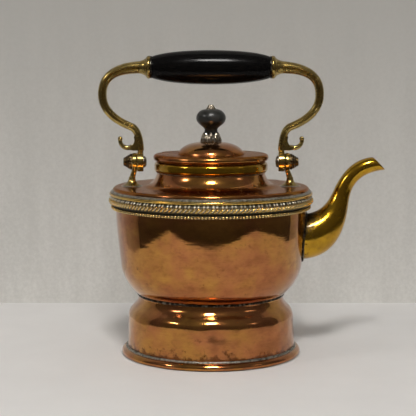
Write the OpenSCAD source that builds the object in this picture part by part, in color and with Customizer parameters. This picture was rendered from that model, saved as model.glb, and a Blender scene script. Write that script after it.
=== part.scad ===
// Copper and brass kettle on its stand, with a lift-off lid and a swinging handle.
// Millimetres, +Z up. The origin is the centre of the foot, on the table.
// The spout points along +X and the handle swings about X.

/* [Foot] */
// How far the rolled ring that the kettle stands on comes out beyond the drum
foot_ring_w = 5.2; // [3:0.1:9]
// Height of that ring
foot_ring_h = 6.5; // [5:0.5:12]
// How far the ring's edge is rounded at the table
foot_edge_w = 1.8; // [1:0.1:2.4]
// Radius of the drum under the bowl
drum_r = 76; // [72:0.5:78]
// How much narrower the drum gets up to its shoulder
drum_taper = 1; // [0:0.1:3]
// Height at which the drum starts to turn in
drum_shoulder_z = 34; // [26:0.5:40]
// Height of the waist, where the drum meets the bowl
waist_z = 53.8; // [48:0.2:60]
// Radius of the waist
waist_r = 65.6; // [58:0.2:70]

/* [Bowl] */
// Thickness of the copper sheet
sheet_t = 1.2; // [0.8:0.1:1.6]
// Height of the bowl, from the waist to the top of the shoulder
bowl_h = 98.2; // [94:0.2:110]
// Radius of the bowl under the band
bowl_r = 86; // [82:0.5:90]
// How much narrower the bowl is where its round bottom ends
belly_inset = 4; // [2:0.2:8]
// Height of that place above the waist
belly_h = 28.2; // [22:0.2:32]

/* [Shoulder and neck] */
// How far the folded rim of the shoulder stands out from the bowl
rim_w = 2.3; // [1.6:0.1:3]
// Height of that folded rim
rim_h = 3.7; // [3:0.1:5]
// Width of the shoulder from the bowl's wall to where it turns up to the neck
shoulder_w = 22; // [20:0.5:28]
// Height of the cove
cove_h = 12.3; // [9:0.1:12.4]
// How far the cove draws in from there to the neck
cove_w = 15.5; // [14:0.5:20]
// Height of the neck's mouth above the shoulder
neck_h = 22.2; // [20:0.2:26]
// How far the brass ring stands out from the neck
neck_ring_w = 2.6; // [1.5:0.1:3.2]
// Height of that ring
neck_ring_h = 9.2; // [6:0.1:9.4]

/* [Band] */
// Height of the stamped band
band_h = 16.3; // [14:0.1:20]
// How far the row of leaves stands out from the bowl
band_w = 6.5; // [4:0.1:7.5]
// How far the row of beads at the bottom stands out
band_bead_w = 4.4; // [3:0.1:5.5]

/* [Lid] */
// How far the lid's edge stands out beyond the neck
lid_overhang = 3.5; // [3:0.1:6]
// Radius of the lid's rolled edge
lid_roll_r = 3.35; // [2.4:0.05:4]
// Gap under the lid's edge where it sits on the neck ring
lid_seat_gap = 0.4; // [0.3:0.05:0.8]
// Radius of the dome
dome_r = 30; // [24:0.5:36]
// Height of the dome above the flat of the lid
dome_h = 10.7; // [6:0.1:16]
// Thickness of the lid's sheet
lid_t = 1; // [0.8:0.1:1.4]
// How far the collar reaches down into the neck
collar_depth = 11; // [6:0.5:14]
// Radial clearance between the collar and the neck
collar_fit = 0.4; // [0.3:0.05:1]

/* [Knob] */
// Largest radius of the knob
knob_r = 13.3; // [10:0.1:16]
// Height of the knob, from its seat in the leaf cup to its top
knob_h = 27.2; // [24:0.1:32]
// Radius of the knob's neck
knob_neck_r = 5.9; // [4:0.1:7]
// Radius of the leaf cup at its foot
calyx_r = 9.3; // [8.4:0.1:11]
// Height of the leaf cup
calyx_h = 8.8; // [7:0.1:10]
// Radius of the rod through the knob
knob_rod_r = 1.6; // [1:0.1:2]
// Height of the petalled nut on the knob
knob_cap_h = 4.2; // [3:0.1:6]
// Radius of that nut
knob_cap_r = 4.7; // [3.5:0.1:6]

/* [Spout] */
// How far the middle of the spout's root lies under the band
spout_drop = 26; // [22:0.5:30]
// Height of the spout's root on the bowl
spout_root_h = 41; // [36:0.5:44]
// How far the spout's lip reaches beyond the bowl
spout_reach = 71.1; // [66:0.5:90]
// How far the spout's lower lip rises above the shoulder
spout_lip_h = 14.8; // [8:0.2:28]
// Length of the slanted mouth, seen from above
spout_mouth_l = 11; // [8:0.5:14]
// How far the mouth's upper edge rises above its lower lip
spout_mouth_h = 11.4; // [7:0.2:13]
// Width of the spout's root against its height
spout_oval = 0.86; // [0.7:0.02:1]
// Wall of the spout
spout_wall = 1.8; // [1.2:0.1:2.4]
// Radius of the hole in the bowl behind the spout
spout_hole_r = 13; // [8:0.5:14]

/* [Handle posts] */
// How far the posts' feet stand in from the bowl's wall
post_inset = 14.7; // [13.5:0.1:16]
// Radius of the flared foot
post_foot_r = 8; // [6:0.1:8.6]
// Radius of the thinnest place of the post
post_waist_r = 2.5; // [2:0.1:3]
// Height of the handle's pivot above the shoulder
pivot_h = 22; // [20:0.5:26]
// How far the inner face of the post's head lies in from the middle of its foot
post_lean_w = 4.8; // [3.6:0.1:5.2]
// Thickness of the post's head
post_head_t = 4.5; // [4:0.1:6]
// Radius of the post's head
post_head_r = 7.25; // [6:0.05:7.6]
// Radius of the pivot bolt
bolt_r = 3; // [2:0.1:3.5]
// Running clearance around the pivot bolt
pivot_clearance = 0.05; // [0.02:0.01:0.1]
// Side play on each face of the handle's eye
pivot_play = 0.2; // [0.1:0.05:0.4]

/* [Handle] */
// Height of the grip's axis above the pivot
grip_h = 84.6; // [83:0.2:92]
// Length of the wooden grip
grip_l = 106; // [96:1:110]
// Radius of the grip in the middle
grip_r = 15.3; // [12:0.1:16]
// Radius of the grip at its ends
grip_end_r = 9.8; // [8:0.1:10]
// Radius of the steel rod through the grip
grip_rod_r = 3; // [2:0.1:4]
// Radius of the brass collar at each end of the grip
grip_collar_r = 10.4; // [10.2:0.1:12]
// How far the arm's middle line bows out beyond the bowl's wall
arm_bow_w = 11.4; // [7:0.2:17]
// Height of that widest place above the pivot
arm_reach_h = 60; // [54:1:64]
// Radius of the arm's bar at its widest place
arm_r = 3.9; // [3:0.1:4.4]
// Radius of the eye at the foot of the arm
eye_r = 8.85; // [8:0.05:9]
// Thickness of that eye
eye_t = 5.6; // [4:0.1:6]
// Radius of the hook's middle line
hook_r = 7; // [6:0.1:8.5]
// Radius of the hook's bar
hook_bar_r = 2; // [1.4:0.1:2.4]

/* [Hidden] */

$fn = 96;
copper = [0.68, 0.40, 0.25];
brass = [0.76, 0.63, 0.30];
tin = [0.62, 0.62, 0.60];
black_wood = [0.06, 0.06, 0.06];
steel = [0.55, 0.55, 0.56];
bronze = [0.36, 0.33, 0.27];

// Room between a rod or a stud and its hole where nothing turns
rod_clearance = 0.1;

// Heights that the rest is placed by
shoulder_z = waist_z + bowl_h;
rim_z = shoulder_z - rim_h;
band_z = rim_z - band_h;
mouth_z = shoulder_z + neck_h;
pivot_z = shoulder_z + pivot_h;
grip_z = pivot_z + grip_h;
rim_r = bowl_r + rim_w;

// Distances from the middle that the rest is placed by
foot_ring_r = drum_r + foot_ring_w;
belly_r = bowl_r - belly_inset;
cove_r = bowl_r - shoulder_w;
neck_r = cove_r - cove_w;
lid_r = neck_r + lid_overhang;
post_x = bowl_r - post_inset;
post_head_x = post_x - post_lean_w;
arm_reach = bowl_r + arm_bow_w;

// Corner radius of the shoulder's rim, and height of the tin beads
rim_round_r = 2.2;
solder_w = 1.5;

function bezier(p0, p1, p2, p3, n = 10) = [for (i = [0:n]) let (t = i / n, s = 1 - t)
    s * s * s * p0 + 3 * s * s * t * p1 + 3 * s * t * t * p2 + t * t * t * p3];
function arc(centre, r, from, to, n = 8) = [for (i = [0:n]) let (a = from + (to - from) * i / n)
    centre + r * [cos(a), sin(a)]];
function ellipse(centre, rx, ry, from, to, n = 8) = [for (i = [0:n]) let (a = from + (to - from) * i / n)
    centre + [rx * cos(a), ry * sin(a)]];
function unit(v) = v / norm(v);
function last(pts) = pts[len(pts) - 1];
function heading(pts, i) = unit(pts[min(i + 1, len(pts) - 1)] - pts[max(i - 1, 0)]);

// The outline moved to its left by t, which is inwards for a wall drawn upwards
function beside(pts, t) = [for (i = [0:len(pts) - 1])
    pts[i] + t * [-heading(pts, i)[1], heading(pts, i)[0]]];
function reversed(pts) = [for (i = [len(pts) - 1:-1:0]) pts[i]];

module lathe(pts) { rotate_extrude() polygon(pts); }
module sheet(pts, t) { lathe(concat(pts, reversed(beside(pts, t)))); }
// A filled solid under an outline drawn upwards
module core(pts) { lathe(concat([[0, pts[0][1]]], pts, [[0, last(pts)[1]]])); }
// Turned about the X axis: the outline's first value is its radius, the second its place along X
module turned_x(pts) { rotate([0, 90, 0]) rotate_extrude() polygon(pts); }
// Builds what it holds on the +X side, or mirrored on the -X side
module side(s) { mirror([s < 0 ? 1 : 0, 0, 0]) children(); }

// A closed solid through rings of points, all with the same number of points
module loft(rings) {
    m = len(rings[0]);
    n = len(rings);
    sides = [for (j = [0:n - 2]) for (k = [0:m - 1]) each
        [[j * m + k, j * m + (k + 1) % m, (j + 1) * m + (k + 1) % m],
         [j * m + k, (j + 1) * m + (k + 1) % m, (j + 1) * m + k]]];
    polyhedron([for (ring = rings) each ring],
        concat(sides, [[for (k = [m - 1:-1:0]) k]], [[for (k = [0:m - 1]) (n - 1) * m + k]]));
}

// Foot

drum_top_r = drum_r - drum_taper;
cove_mid_z = (drum_shoulder_z + waist_z) / 2;
drum_profile = concat([[drum_r, sheet_t]],
    bezier([drum_top_r, drum_shoulder_z], [drum_top_r, cove_mid_z], [waist_r, cove_mid_z], [waist_r, waist_z]));

ring_belly_z = 2.2;
ring_edge_r = foot_ring_r - foot_edge_w;
foot_ring_profile = concat(
    [[drum_r, 0]],
    ellipse([ring_edge_r, ring_belly_z], foot_edge_w, ring_belly_z, -90, 0, 5),
    ellipse([drum_r, ring_belly_z], foot_ring_r - drum_r, foot_ring_h - ring_belly_z, 10, 90, 8));

module foot_ring() { color(copper) lathe(foot_ring_profile); }

module foot_plate() { color(copper) cylinder(r = drum_r, h = sheet_t); }

module foot_drum() {
    color(copper) difference() {
        sheet(drum_profile, sheet_t);
        foot_plate();
    }
}

module foot_solder() {
    color(tin) difference() {
        lathe(arc([drum_r - 0.2, foot_ring_h - 0.2], solder_w, 0, 315, 14));
        lathe(foot_ring_profile);
        core(drum_profile);
    }
}

module waist_solder() {
    color(tin) difference() {
        lathe(arc([waist_r, waist_z + 0.9], solder_w, 0, 315, 14));
        core(drum_profile);
        core(bowl_profile);
    }
}

// Bowl

belly_z = waist_z + belly_h;
bowl_foot_z = waist_z + 0.8;
bowl_full_z = band_z - 4;
belly_in = belly_r - waist_r;
belly_up = belly_z - bowl_foot_z;
wall_up = bowl_full_z - belly_z;
bowl_curve = concat(
    [[waist_r, waist_z]],
    bezier([waist_r, bowl_foot_z], [waist_r + 0.45 * belly_in, bowl_foot_z + 0.2 * belly_up],
        [belly_r - 0.06 * belly_in, belly_z - 0.4 * belly_up], [belly_r, belly_z], 12),
    bezier([belly_r, belly_z], [belly_r + 0.33 * (bowl_r - belly_r), belly_z + 0.3 * wall_up],
        [bowl_r, bowl_full_z - 0.3 * wall_up], [bowl_r, bowl_full_z], 6));
// The same outline without the point that the two curves share
bowl_profile = concat([for (i = [0:len(bowl_curve) - 1]) if (i != 13) bowl_curve[i]],
    [[bowl_r, shoulder_z - sheet_t]]);

module bowl() {
    color(copper) difference() {
        sheet(bowl_profile, sheet_t);
        translate([bowl_r / 2, 0, spout_root_z]) rotate([0, 90, 0]) cylinder(r = spout_hole_r, h = bowl_r);
    }
}

// Spout: drawn between an upper and a lower outline in the XZ plane

spout_root_z = band_z - spout_drop;
spout_lip_z = shoulder_z + spout_lip_h;
spout_rise = spout_lip_z - spout_root_z;
root_sunk = 2.5;
spout_low = [bowl_r - root_sunk, spout_root_z - spout_root_h / 2];
spout_high = [bowl_r - root_sunk, spout_root_z + spout_root_h / 2];
lip_low = [bowl_r + spout_reach, spout_lip_z];
lip_high = lip_low + [-spout_mouth_l, spout_mouth_h];
// A step as shares of the spout's reach and of its rise
function share(u, v) = [u * spout_reach, v * spout_rise];
// Where the outlines pass the spout's steep stretch
bend_high = lip_low + share(-0.632, -0.26);
bend_low = lip_low + share(-0.459, -0.494);
spout_turns = 12;
upper_outline = concat(
    bezier(spout_high, spout_high + share(0.239, 0.01), bend_high - share(0.066, 0.192), bend_high, spout_turns),
    bezier(bend_high, bend_high + share(0.082, 0.195), lip_high - share(0.255, 0.016), lip_high, spout_turns));
lower_outline = concat(
    bezier(spout_low, spout_low + share(0.415, 0.024), bend_low - share(0.035, 0.41), bend_low, spout_turns),
    bezier(bend_low, bend_low + share(0.028, 0.3), lip_low - share(0.297, 0.04), lip_low, spout_turns));
spout_stations = [for (i = [0:len(upper_outline) - 1]) if (i != spout_turns) i];
spout_sides = 24;
root_tail = 8;

function spout_mid(i) = (upper_outline[i] + lower_outline[i]) / 2;
function spout_heading(i) =
    unit(spout_mid(min(i + 1, len(upper_outline) - 1)) - spout_mid(max(i - 1, 0)));
function spout_half(i) = (upper_outline[i] - lower_outline[i]) / 2;
// Half the spout's width in Y: what its height measures square to the way it runs
function spout_half_w(i) = let (a = spout_half(i), h = spout_heading(i), share = min(1, i / spout_turns))
    abs(a[0] * h[1] - a[1] * h[0]) * (spout_oval + (1 - spout_oval) * share);
function spout_ring(i, grow) = let (c = spout_mid(i), a = spout_half(i) * (1 + grow / norm(spout_half(i))),
    b = spout_half_w(i) + grow)
    [for (k = [0:spout_sides - 1]) let (t = 360 * k / spout_sides)
        [c[0] + a[0] * cos(t), b * sin(t), c[1] + a[1] * cos(t)]];
// All rings from the root to the lip, with one more inside the bowl, where the bowl's shape cuts it off
function spout_rings(grow) = concat([[for (p = spout_ring(0, grow)) p - [root_tail, 0, 0]]],
    [for (i = spout_stations) spout_ring(i, grow)]);

module spout_skin(grow) { loft(spout_rings(grow)); }

// The spout as a tube: outer rings out, inner rings back, joined at both ends
module spout_tube() {
    m = spout_sides;
    rings = concat(spout_rings(0), reversed(spout_rings(-spout_wall)));
    n = len(rings);
    polyhedron([for (ring = rings) each ring],
        [for (j = [0:n - 1]) for (k = [0:m - 1]) let (a = j * m, b = ((j + 1) % n) * m, q = (k + 1) % m) each
            [[a + k, a + q, b + q], [a + k, b + q, b + k]]]);
}

module spout() {
    color(brass) difference() {
        spout_tube();
        core(bowl_profile);
    }
}

module spout_solder() {
    color(tin) difference() {
        intersection() {
            spout_skin(solder_w);
            core(beside(bowl_profile, -solder_w), $fn = 360);
        }
        spout_skin(0);
        core(bowl_profile, $fn = 360);
    }
}

// Band around the top of the bowl

leaf_r = 4.1;
leaf_z = band_z + 8.3;
bead_row_r = 1.8;
bead_row_z = band_z + bead_row_r;
moulding_z = leaf_z + leaf_r;
band_top_w = 3;
band_profile = concat(
    [[bowl_r, band_z]],
    arc([bowl_r + band_bead_w - bead_row_r, bead_row_z], bead_row_r, -90, 80, 8),
    arc([bowl_r + band_w - leaf_r, leaf_z], leaf_r, -85, 85, 12),
    bezier([bowl_r + band_w - leaf_r + 1.8, moulding_z], [bowl_r + band_w - 0.4, moulding_z + 0.8],
        [bowl_r + band_w - 1.2, rim_z - 0.8], [bowl_r + band_top_w, rim_z], 8),
    [[bowl_r, rim_z]]);

module gallery_band() { color(brass) lathe(band_profile); }

module band_solder() {
    color(tin) lathe([[rim_r, rim_z], [bowl_r + band_top_w, rim_z], [rim_r, rim_z + 0.7]]);
}

// Shoulder and neck

neck_ring_top_z = mouth_z;
neck_ring_z = mouth_z - neck_ring_h;
cove_top_z = shoulder_z + cove_h;
shoulder_profile = concat(
    [[rim_r, rim_z]],
    arc([rim_r - rim_round_r, shoulder_z - rim_round_r], rim_round_r, 0, 90, 6),
    bezier([cove_r, shoulder_z], [cove_r - 0.58 * cove_w, shoulder_z],
        [neck_r + 0.13 * cove_w, shoulder_z + 0.4 * cove_h], [neck_r, cove_top_z], 12),
    [[neck_r, mouth_z]]);

module shoulder() {
    color(copper) difference() {
        union() {
            sheet(shoulder_profile, sheet_t);
            lathe([[bowl_r, rim_z], [rim_r - sheet_t / 2, rim_z],
                [rim_r - sheet_t / 2, shoulder_z - rim_round_r], [bowl_r, shoulder_z - sheet_t / 2]]);
        }
        for (s = [-1, 1]) translate([s * post_x, 0, rim_z]) cylinder(r = post_waist_r + rod_clearance, h = bowl_h);
        core([[bowl_r, rim_z], [bowl_r, shoulder_z - sheet_t]]);
    }
}

ring_corner = neck_ring_h / 3;
neck_ring_profile = concat(
    [[neck_r, neck_ring_z]],
    ellipse([neck_r, neck_ring_z + ring_corner], neck_ring_w, ring_corner, -65, 0, 5),
    ellipse([neck_r, neck_ring_top_z - ring_corner], neck_ring_w, ring_corner, 0, 65, 5),
    [[neck_r, neck_ring_top_z]]);

module neck_ring() { color(brass) lathe(neck_ring_profile); }

module neck_solder() {
    color(tin) lathe([[neck_r, neck_ring_z - 0.7], [neck_r + 0.9, neck_ring_z], [neck_r, neck_ring_z]]);
}

// Posts that carry the handle

post_lip_h = 0.9;
post_flare_h = 7;
stud_l = 7.2;
washer_r = 6;
washer_t = 1;
post_nut_r = 5;
post_nut_h = 4;
under_z = shoulder_z - sheet_t;
post_profile = concat(
    [[0, under_z - stud_l], [post_waist_r, under_z - stud_l], [post_waist_r, shoulder_z],
        [post_foot_r, shoulder_z]],
    bezier([post_foot_r, shoulder_z + post_lip_h], [post_foot_r - 3, shoulder_z + post_lip_h + 0.5],
        [post_waist_r + 0.4, shoulder_z + 0.55 * post_flare_h], [post_waist_r, shoulder_z + post_flare_h], 8),
    arc([0, shoulder_z + post_flare_h], post_waist_r, 15, 90, 5));
post_head_mid = [post_head_x + post_head_t / 2, pivot_z - post_head_r + 1.5];
post_neck = [post_x, shoulder_z + post_flare_h];
post_lean = post_head_mid - post_neck;
head_round = 0.8;
cut_l = 10;

module post(s) {
    color(brass) side(s) difference() {
        union() {
            translate([post_x, 0, 0]) lathe(post_profile);
            translate([post_neck[0], 0, post_neck[1]])
                rotate([0, atan2(post_lean[0], post_lean[1]), 0])
                    cylinder(r1 = post_waist_r - 0.3, r2 = post_waist_r + 0.5, h = norm(post_lean));
            translate([0, 0, pivot_z]) turned_x([[0, post_head_x],
                [post_head_r - head_round, post_head_x], [post_head_r, post_head_x + head_round],
                [post_head_r, post_head_x + post_head_t - head_round],
                [post_head_r - head_round, post_head_x + post_head_t], [0, post_head_x + post_head_t]]);
        }
        translate([post_head_x - cut_l, 0, pivot_z]) rotate([0, 90, 0])
            cylinder(r = bolt_r + pivot_clearance, h = post_head_t + 2 * cut_l);
        // Keeps the shank clear of the eye that turns on its inner side and of the nut on its outer side
        translate([post_head_x - cut_l, -cut_l, shoulder_z + post_flare_h]) cube([cut_l, 2 * cut_l, pivot_h]);
        translate([post_head_x + post_head_t, -cut_l, pivot_z - post_head_r - pivot_clearance])
            cube([cut_l, 2 * cut_l, pivot_h]);
    }
}

module post_solder() {
    color(tin) for (s = [-1, 1]) side(s) difference() {
        translate([post_x, 0, 0]) lathe([[post_foot_r, shoulder_z], [post_foot_r + 2, shoulder_z],
            [post_foot_r + 0.7, shoulder_z + 0.3], [post_foot_r, shoulder_z + 0.8]]);
        core(shoulder_profile);
    }
}

module post_washers() {
    color(steel) for (s = [-1, 1]) translate([s * post_x, 0, under_z - washer_t]) difference() {
        cylinder(r = washer_r, h = washer_t);
        translate([0, 0, -1]) cylinder(r = post_waist_r + rod_clearance, h = washer_t + 2);
    }
}

module post_nuts() {
    color(steel) for (s = [-1, 1]) translate([s * post_x, 0, under_z - washer_t - post_nut_h]) difference() {
        cylinder(r = post_nut_r, h = post_nut_h, $fn = 6);
        translate([0, 0, -1]) cylinder(r = post_waist_r + pivot_clearance, h = post_nut_h + 2);
    }
}

// Pivot bolts and their nuts

eye_in_x = post_head_x - pivot_play - eye_t;
bolt_seat_x = eye_in_x - pivot_play;
bolt_head_r = 5.2;
bolt_head_h = 2.6;
nut_x = post_head_x + post_head_t;
nut_l = 7.8;
bolt_l = nut_x + nut_l - 1.4;

module pivot_bolt(s) {
    color(bronze) side(s) translate([0, 0, pivot_z]) turned_x(concat(
        [[0, bolt_seat_x - bolt_head_h]],
        reversed([for (p = ellipse([bolt_seat_x - 0.6, 0], bolt_head_h - 0.6, bolt_head_r, 90, 165, 6)) [p[1], p[0]]]),
        [[bolt_head_r, bolt_seat_x], [bolt_r, bolt_seat_x], [bolt_r, bolt_l], [0, bolt_l]]));
}

// A stepped nut with petals cut around its first step
module pivot_nut(s) {
    color(bronze) side(s) translate([0, 0, pivot_z]) difference() {
        turned_x([[bolt_r + 0.02, nut_x], [post_head_r, nut_x], [post_head_r, nut_x + 1.8],
            [post_head_r - 1, nut_x + 2.6], [post_head_r - 1.1, nut_x + 3.8], [5.2, nut_x + 4.6],
            [5, nut_x + 5.8], [4, nut_x + 5.8], [4, nut_x + nut_l - 0.6], [3.4, nut_x + nut_l],
            [0, nut_x + nut_l], [0, bolt_l + 0.2], [bolt_r + 0.02, bolt_l + 0.2]]);
        for (a = [0:45:315]) rotate([a, 0, 0]) translate([nut_x - 1, 0, post_head_r + 0.4])
            rotate([0, 90, 0]) cylinder(r = 1.2, h = 5.2, $fn = 24);
    }
}

// Lid

lid_z = mouth_z + lid_seat_gap;
roll_z = lid_z + lid_roll_r;
flat_z = lid_z + 2 * lid_roll_r - 0.3;
dome_z = flat_z + dome_h;
collar_r = neck_r - sheet_t - collar_fit;
dome_flat_r = calyx_r - 0.3;
lid_sheet = concat(
    [[collar_r, flat_z], [dome_r + 0.8, flat_z]],
    bezier([dome_r, flat_z], [dome_r - 1.5, flat_z + 0.6 * dome_h],
        [dome_r - 0.55 * (dome_r - dome_flat_r), dome_z], [dome_flat_r, dome_z], 12),
    [[knob_rod_r + rod_clearance, dome_z]]);

module lid_shell() { color(copper) sheet(lid_sheet, lid_t); }

// The rolled edge around the lid
module lid_rim() {
    color(copper) lathe(concat([[collar_r, lid_z]],
        arc([lid_r - lid_roll_r, roll_z], lid_roll_r, -90, 90, 12),
        [[collar_r + 0.8, flat_z], [collar_r, flat_z]]));
}

module lid_flange() {
    color(copper) translate([0, 0, mouth_z - collar_depth]) difference() {
        cylinder(r = collar_r, h = flat_z - lid_t - mouth_z + collar_depth);
        translate([0, 0, -1]) cylinder(r = collar_r - lid_t, h = collar_depth + 4 * lid_roll_r);
    }
}

// Knob

cup_floor_z = dome_z + 2.3;
knob_top_z = cup_floor_z + knob_h;
knob_waist_z = cup_floor_z + 8.8;
knob_belly_z = knob_top_z - 8;
calyx_top_z = dome_z + calyx_h;
knob_crown = bezier([knob_r, knob_belly_z], [knob_r, knob_belly_z + 4.6],
    [knob_cap_r + 4.8, knob_top_z], [knob_cap_r, knob_top_z], 8);
knob_profile = concat(
    [[knob_rod_r + rod_clearance, cup_floor_z], [knob_neck_r, cup_floor_z]],
    bezier([knob_neck_r, knob_waist_z], [knob_neck_r + 0.2, knob_waist_z + 0.3 * (knob_belly_z - knob_waist_z)],
        [knob_r, knob_belly_z - 0.55 * (knob_belly_z - knob_waist_z)], [knob_r, knob_belly_z], 9),
    [for (i = [1:len(knob_crown) - 1]) knob_crown[i]],
    [[knob_rod_r + rod_clearance, knob_top_z]]);

module knob() { color(black_wood) lathe(knob_profile); }

// A cup of eight leaves around the knob's foot
module knob_calyx() {
    color(bronze) difference() {
        lathe(concat(
            [[knob_rod_r + rod_clearance, dome_z], [calyx_r, dome_z]],
            bezier([calyx_r + 0.3, dome_z + 0.5], [calyx_r + 1.2, dome_z + 3.6],
                [knob_neck_r + 1.7, dome_z + 0.75 * calyx_h], [knob_neck_r + 0.8, calyx_top_z], 8),
            [[knob_neck_r + 0.2, calyx_top_z], [knob_neck_r + 0.2, cup_floor_z],
                [knob_rod_r + rod_clearance, cup_floor_z]]));
        for (a = [0:45:315]) rotate([0, 0, a + 22.5]) {
            translate([knob_neck_r - 1, 0, calyx_top_z + 0.3]) rotate([0, 90, 0]) cylinder(r = 1.8, h = 9, $fn = 24);
            translate([calyx_r + 1, 0, dome_z - 1]) cylinder(r = 0.9, h = calyx_h + 2, $fn = 24);
        }
    }
}

rod_low_z = dome_z - lid_t - 6;
module knob_rod() {
    color(steel) translate([0, 0, rod_low_z]) cylinder(r = knob_rod_r, h = knob_top_z + 0.55 * knob_cap_h - rod_low_z);
}

module knob_cap() {
    color(bronze) difference() {
        translate([0, 0, knob_top_z]) cylinder(r1 = knob_cap_r, r2 = 0.4 * knob_cap_r, h = knob_cap_h);
        translate([0, 0, knob_top_z - 1]) cylinder(r = knob_rod_r + 0.02, h = 1.2 + 0.55 * knob_cap_h);
        for (a = [0:60:300]) rotate([0, 0, a]) translate([knob_cap_r + 0.5, 0, knob_top_z - 1])
            rotate([0, -34, 0]) cylinder(r = 0.9, h = knob_cap_h + 4, $fn = 24);
    }
}

module knob_washer() {
    color(steel) translate([0, 0, dome_z - lid_t - 0.8]) difference() {
        cylinder(r = 5, h = 0.8);
        translate([0, 0, -1]) cylinder(r = knob_rod_r + rod_clearance, h = 3);
    }
}

module knob_nut() {
    color(steel) translate([0, 0, dome_z - lid_t - 3.8]) difference() {
        cylinder(r = 3.6, h = 3, $fn = 6);
        translate([0, 0, -1]) cylinder(r = knob_rod_r + 0.02, h = 5);
    }
}

// Handle

grip_half = grip_l / 2;
grip_washer_t = 1;
collar_x = grip_half + grip_washer_t;
grip_edge = 0.6;
grip_curve = bezier([grip_end_r, grip_half - grip_edge], [grip_end_r + 4.4, grip_half - 10],
    [grip_r, 0.45 * grip_half], [grip_r, 0], 12);

module grip() {
    color(black_wood) translate([0, 0, grip_z]) turned_x(concat(
        [[grip_rod_r + rod_clearance, grip_half], [grip_end_r - grip_edge, grip_half]],
        grip_curve,
        [for (i = [len(grip_curve) - 2:-1:0]) [grip_curve[i][0], -grip_curve[i][1]]],
        [[grip_end_r - grip_edge, -grip_half], [grip_rod_r + rod_clearance, -grip_half]]));
}

rod_seat_l = 9;
module grip_rod() {
    l = 2 * (collar_x + rod_seat_l);
    color(steel) translate([-l / 2, 0, grip_z]) rotate([0, 90, 0]) cylinder(r = grip_rod_r, h = l);
}

module grip_washers() {
    color(tin) for (s = [-1, 1]) side(s) translate([grip_half, 0, grip_z]) rotate([0, 90, 0]) difference() {
        cylinder(r = grip_end_r + 0.1, h = grip_washer_t);
        translate([0, 0, -1]) cylinder(r = grip_rod_r + rod_clearance, h = grip_washer_t + 2);
    }
}

// The arm's middle line in the XZ plane: out from the collar, down, and back in over the eye
arm_start = [collar_x + 4, grip_z];
arm_far = [arm_reach, pivot_z + arm_reach_h];
arm_knee = [eye_in_x + eye_t / 2 + 7.4, pivot_z + 31.2];
arm_foot = [eye_in_x + eye_t / 2 - 0.3, pivot_z + 6];
arm_turns = 14;
arm_line = concat(
    bezier(arm_start, arm_start + [27, 0.4], arm_far + [0.2, 17], arm_far, arm_turns),
    bezier(arm_far, arm_far - [0, 15], arm_knee + [13, 4.8], arm_knee, arm_turns),
    bezier(arm_knee, arm_knee - [5, 2.9], arm_foot + [0, 14], arm_foot, arm_turns));
// The radius of the bar at the ends of those three curves
arm_radii = [arm_r + 2, arm_r, arm_r - 0.4, arm_r - 1];
arm_stations = [for (i = [0:len(arm_line) - 1]) if (i != arm_turns && i != 2 * arm_turns + 1) i];
arm_sides = 16;

function arm_radius(i) = let (u = min(i / (arm_turns + 1), 2.999), j = floor(u), f = u - j,
    g = j == 0 ? 1 - pow(1 - f, 2) : f)
    arm_radii[j] + (arm_radii[j + 1] - arm_radii[j]) * g;
function arm_ring(i) = let (c = arm_line[i], h = heading(arm_line, i), r = arm_radius(i))
    [for (k = [0:arm_sides - 1]) let (t = 360 * k / arm_sides)
        [c[0] - r * cos(t) * h[1], r * sin(t), c[1] + r * cos(t) * h[0]]];

grip_collar_l = 10;
collar_profile = concat(
    [[0, collar_x], [grip_collar_r - 1, collar_x]],
    [[grip_collar_r - 0.3, collar_x + 0.5], [grip_collar_r, collar_x + 1.5], [grip_collar_r - 0.3, collar_x + 2.6]],
    bezier([grip_collar_r - 1, collar_x + 3.4], [arm_r + 3.4, collar_x + 4.5],
        [arm_r + 2.2, collar_x + 7], [arm_r + 1.8, collar_x + grip_collar_l], 8),
    [[0, collar_x + grip_collar_l]]);

hook_centre = [eye_in_x + 14.1, pivot_z + 19.4];
hook_from = -125;
hook_to = 12;
web_z = pivot_z + eye_r + 0.4;

module arm(s) {
    color(brass) side(s) difference() {
        union() {
            loft([for (i = arm_stations) arm_ring(i)]);
            translate([0, 0, grip_z]) turned_x(collar_profile);
            // Eye
            translate([eye_in_x, 0, pivot_z]) rotate([0, 90, 0]) cylinder(r = eye_r, h = eye_t);
            // Tongue between the eye and the bar
            translate([eye_in_x, 0, 0]) rotate([90, 0, 90]) linear_extrude(eye_t)
                polygon([[-eye_r + 1.5, pivot_z + 4], [eye_r - 1.5, pivot_z + 4],
                    [arm_r, web_z + 6], [arm_r - 1, arm_knee[1] - 7], [1 - arm_r, arm_knee[1] - 7],
                    [-arm_r, web_z + 6]]);
            // Hook, and the web that joins it to the tongue
            translate([hook_centre[0], 0, hook_centre[1]]) rotate([90, 0, 0]) {
                rotate([0, 0, hook_from]) rotate_extrude(angle = hook_to - hook_from)
                    translate([hook_r, 0]) circle(r = hook_bar_r, $fn = 32);
                rotate([0, 0, hook_to - 2]) translate([hook_r, 0, 0]) sphere(r = hook_bar_r + 0.1, $fn = 32);
            }
            translate([0, hook_bar_r, 0]) rotate([90, 0, 0]) linear_extrude(2 * hook_bar_r)
                polygon([[eye_in_x + 1, web_z], [hook_centre[0] - 4.5, web_z],
                    hook_centre + hook_r * [cos(-85), sin(-85)] - [0, 1.2],
                    hook_centre + hook_r * [cos(-95), sin(-95)] + [0, 1.2],
                    hook_centre + (hook_r - 1.6) * [cos(-125), sin(-125)],
                    hook_centre + (hook_r - 1.6) * [cos(-160), sin(-160)],
                    [eye_in_x + 3, hook_centre[1]]]);
        }
        translate([eye_in_x - 1, 0, pivot_z]) rotate([0, 90, 0])
            cylinder(r = bolt_r + pivot_clearance, h = eye_t + 2);
        translate([collar_x - 1, 0, grip_z]) rotate([0, 90, 0])
            cylinder(r = grip_rod_r + pivot_clearance, h = rod_seat_l + 1.2);
    }
}

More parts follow.
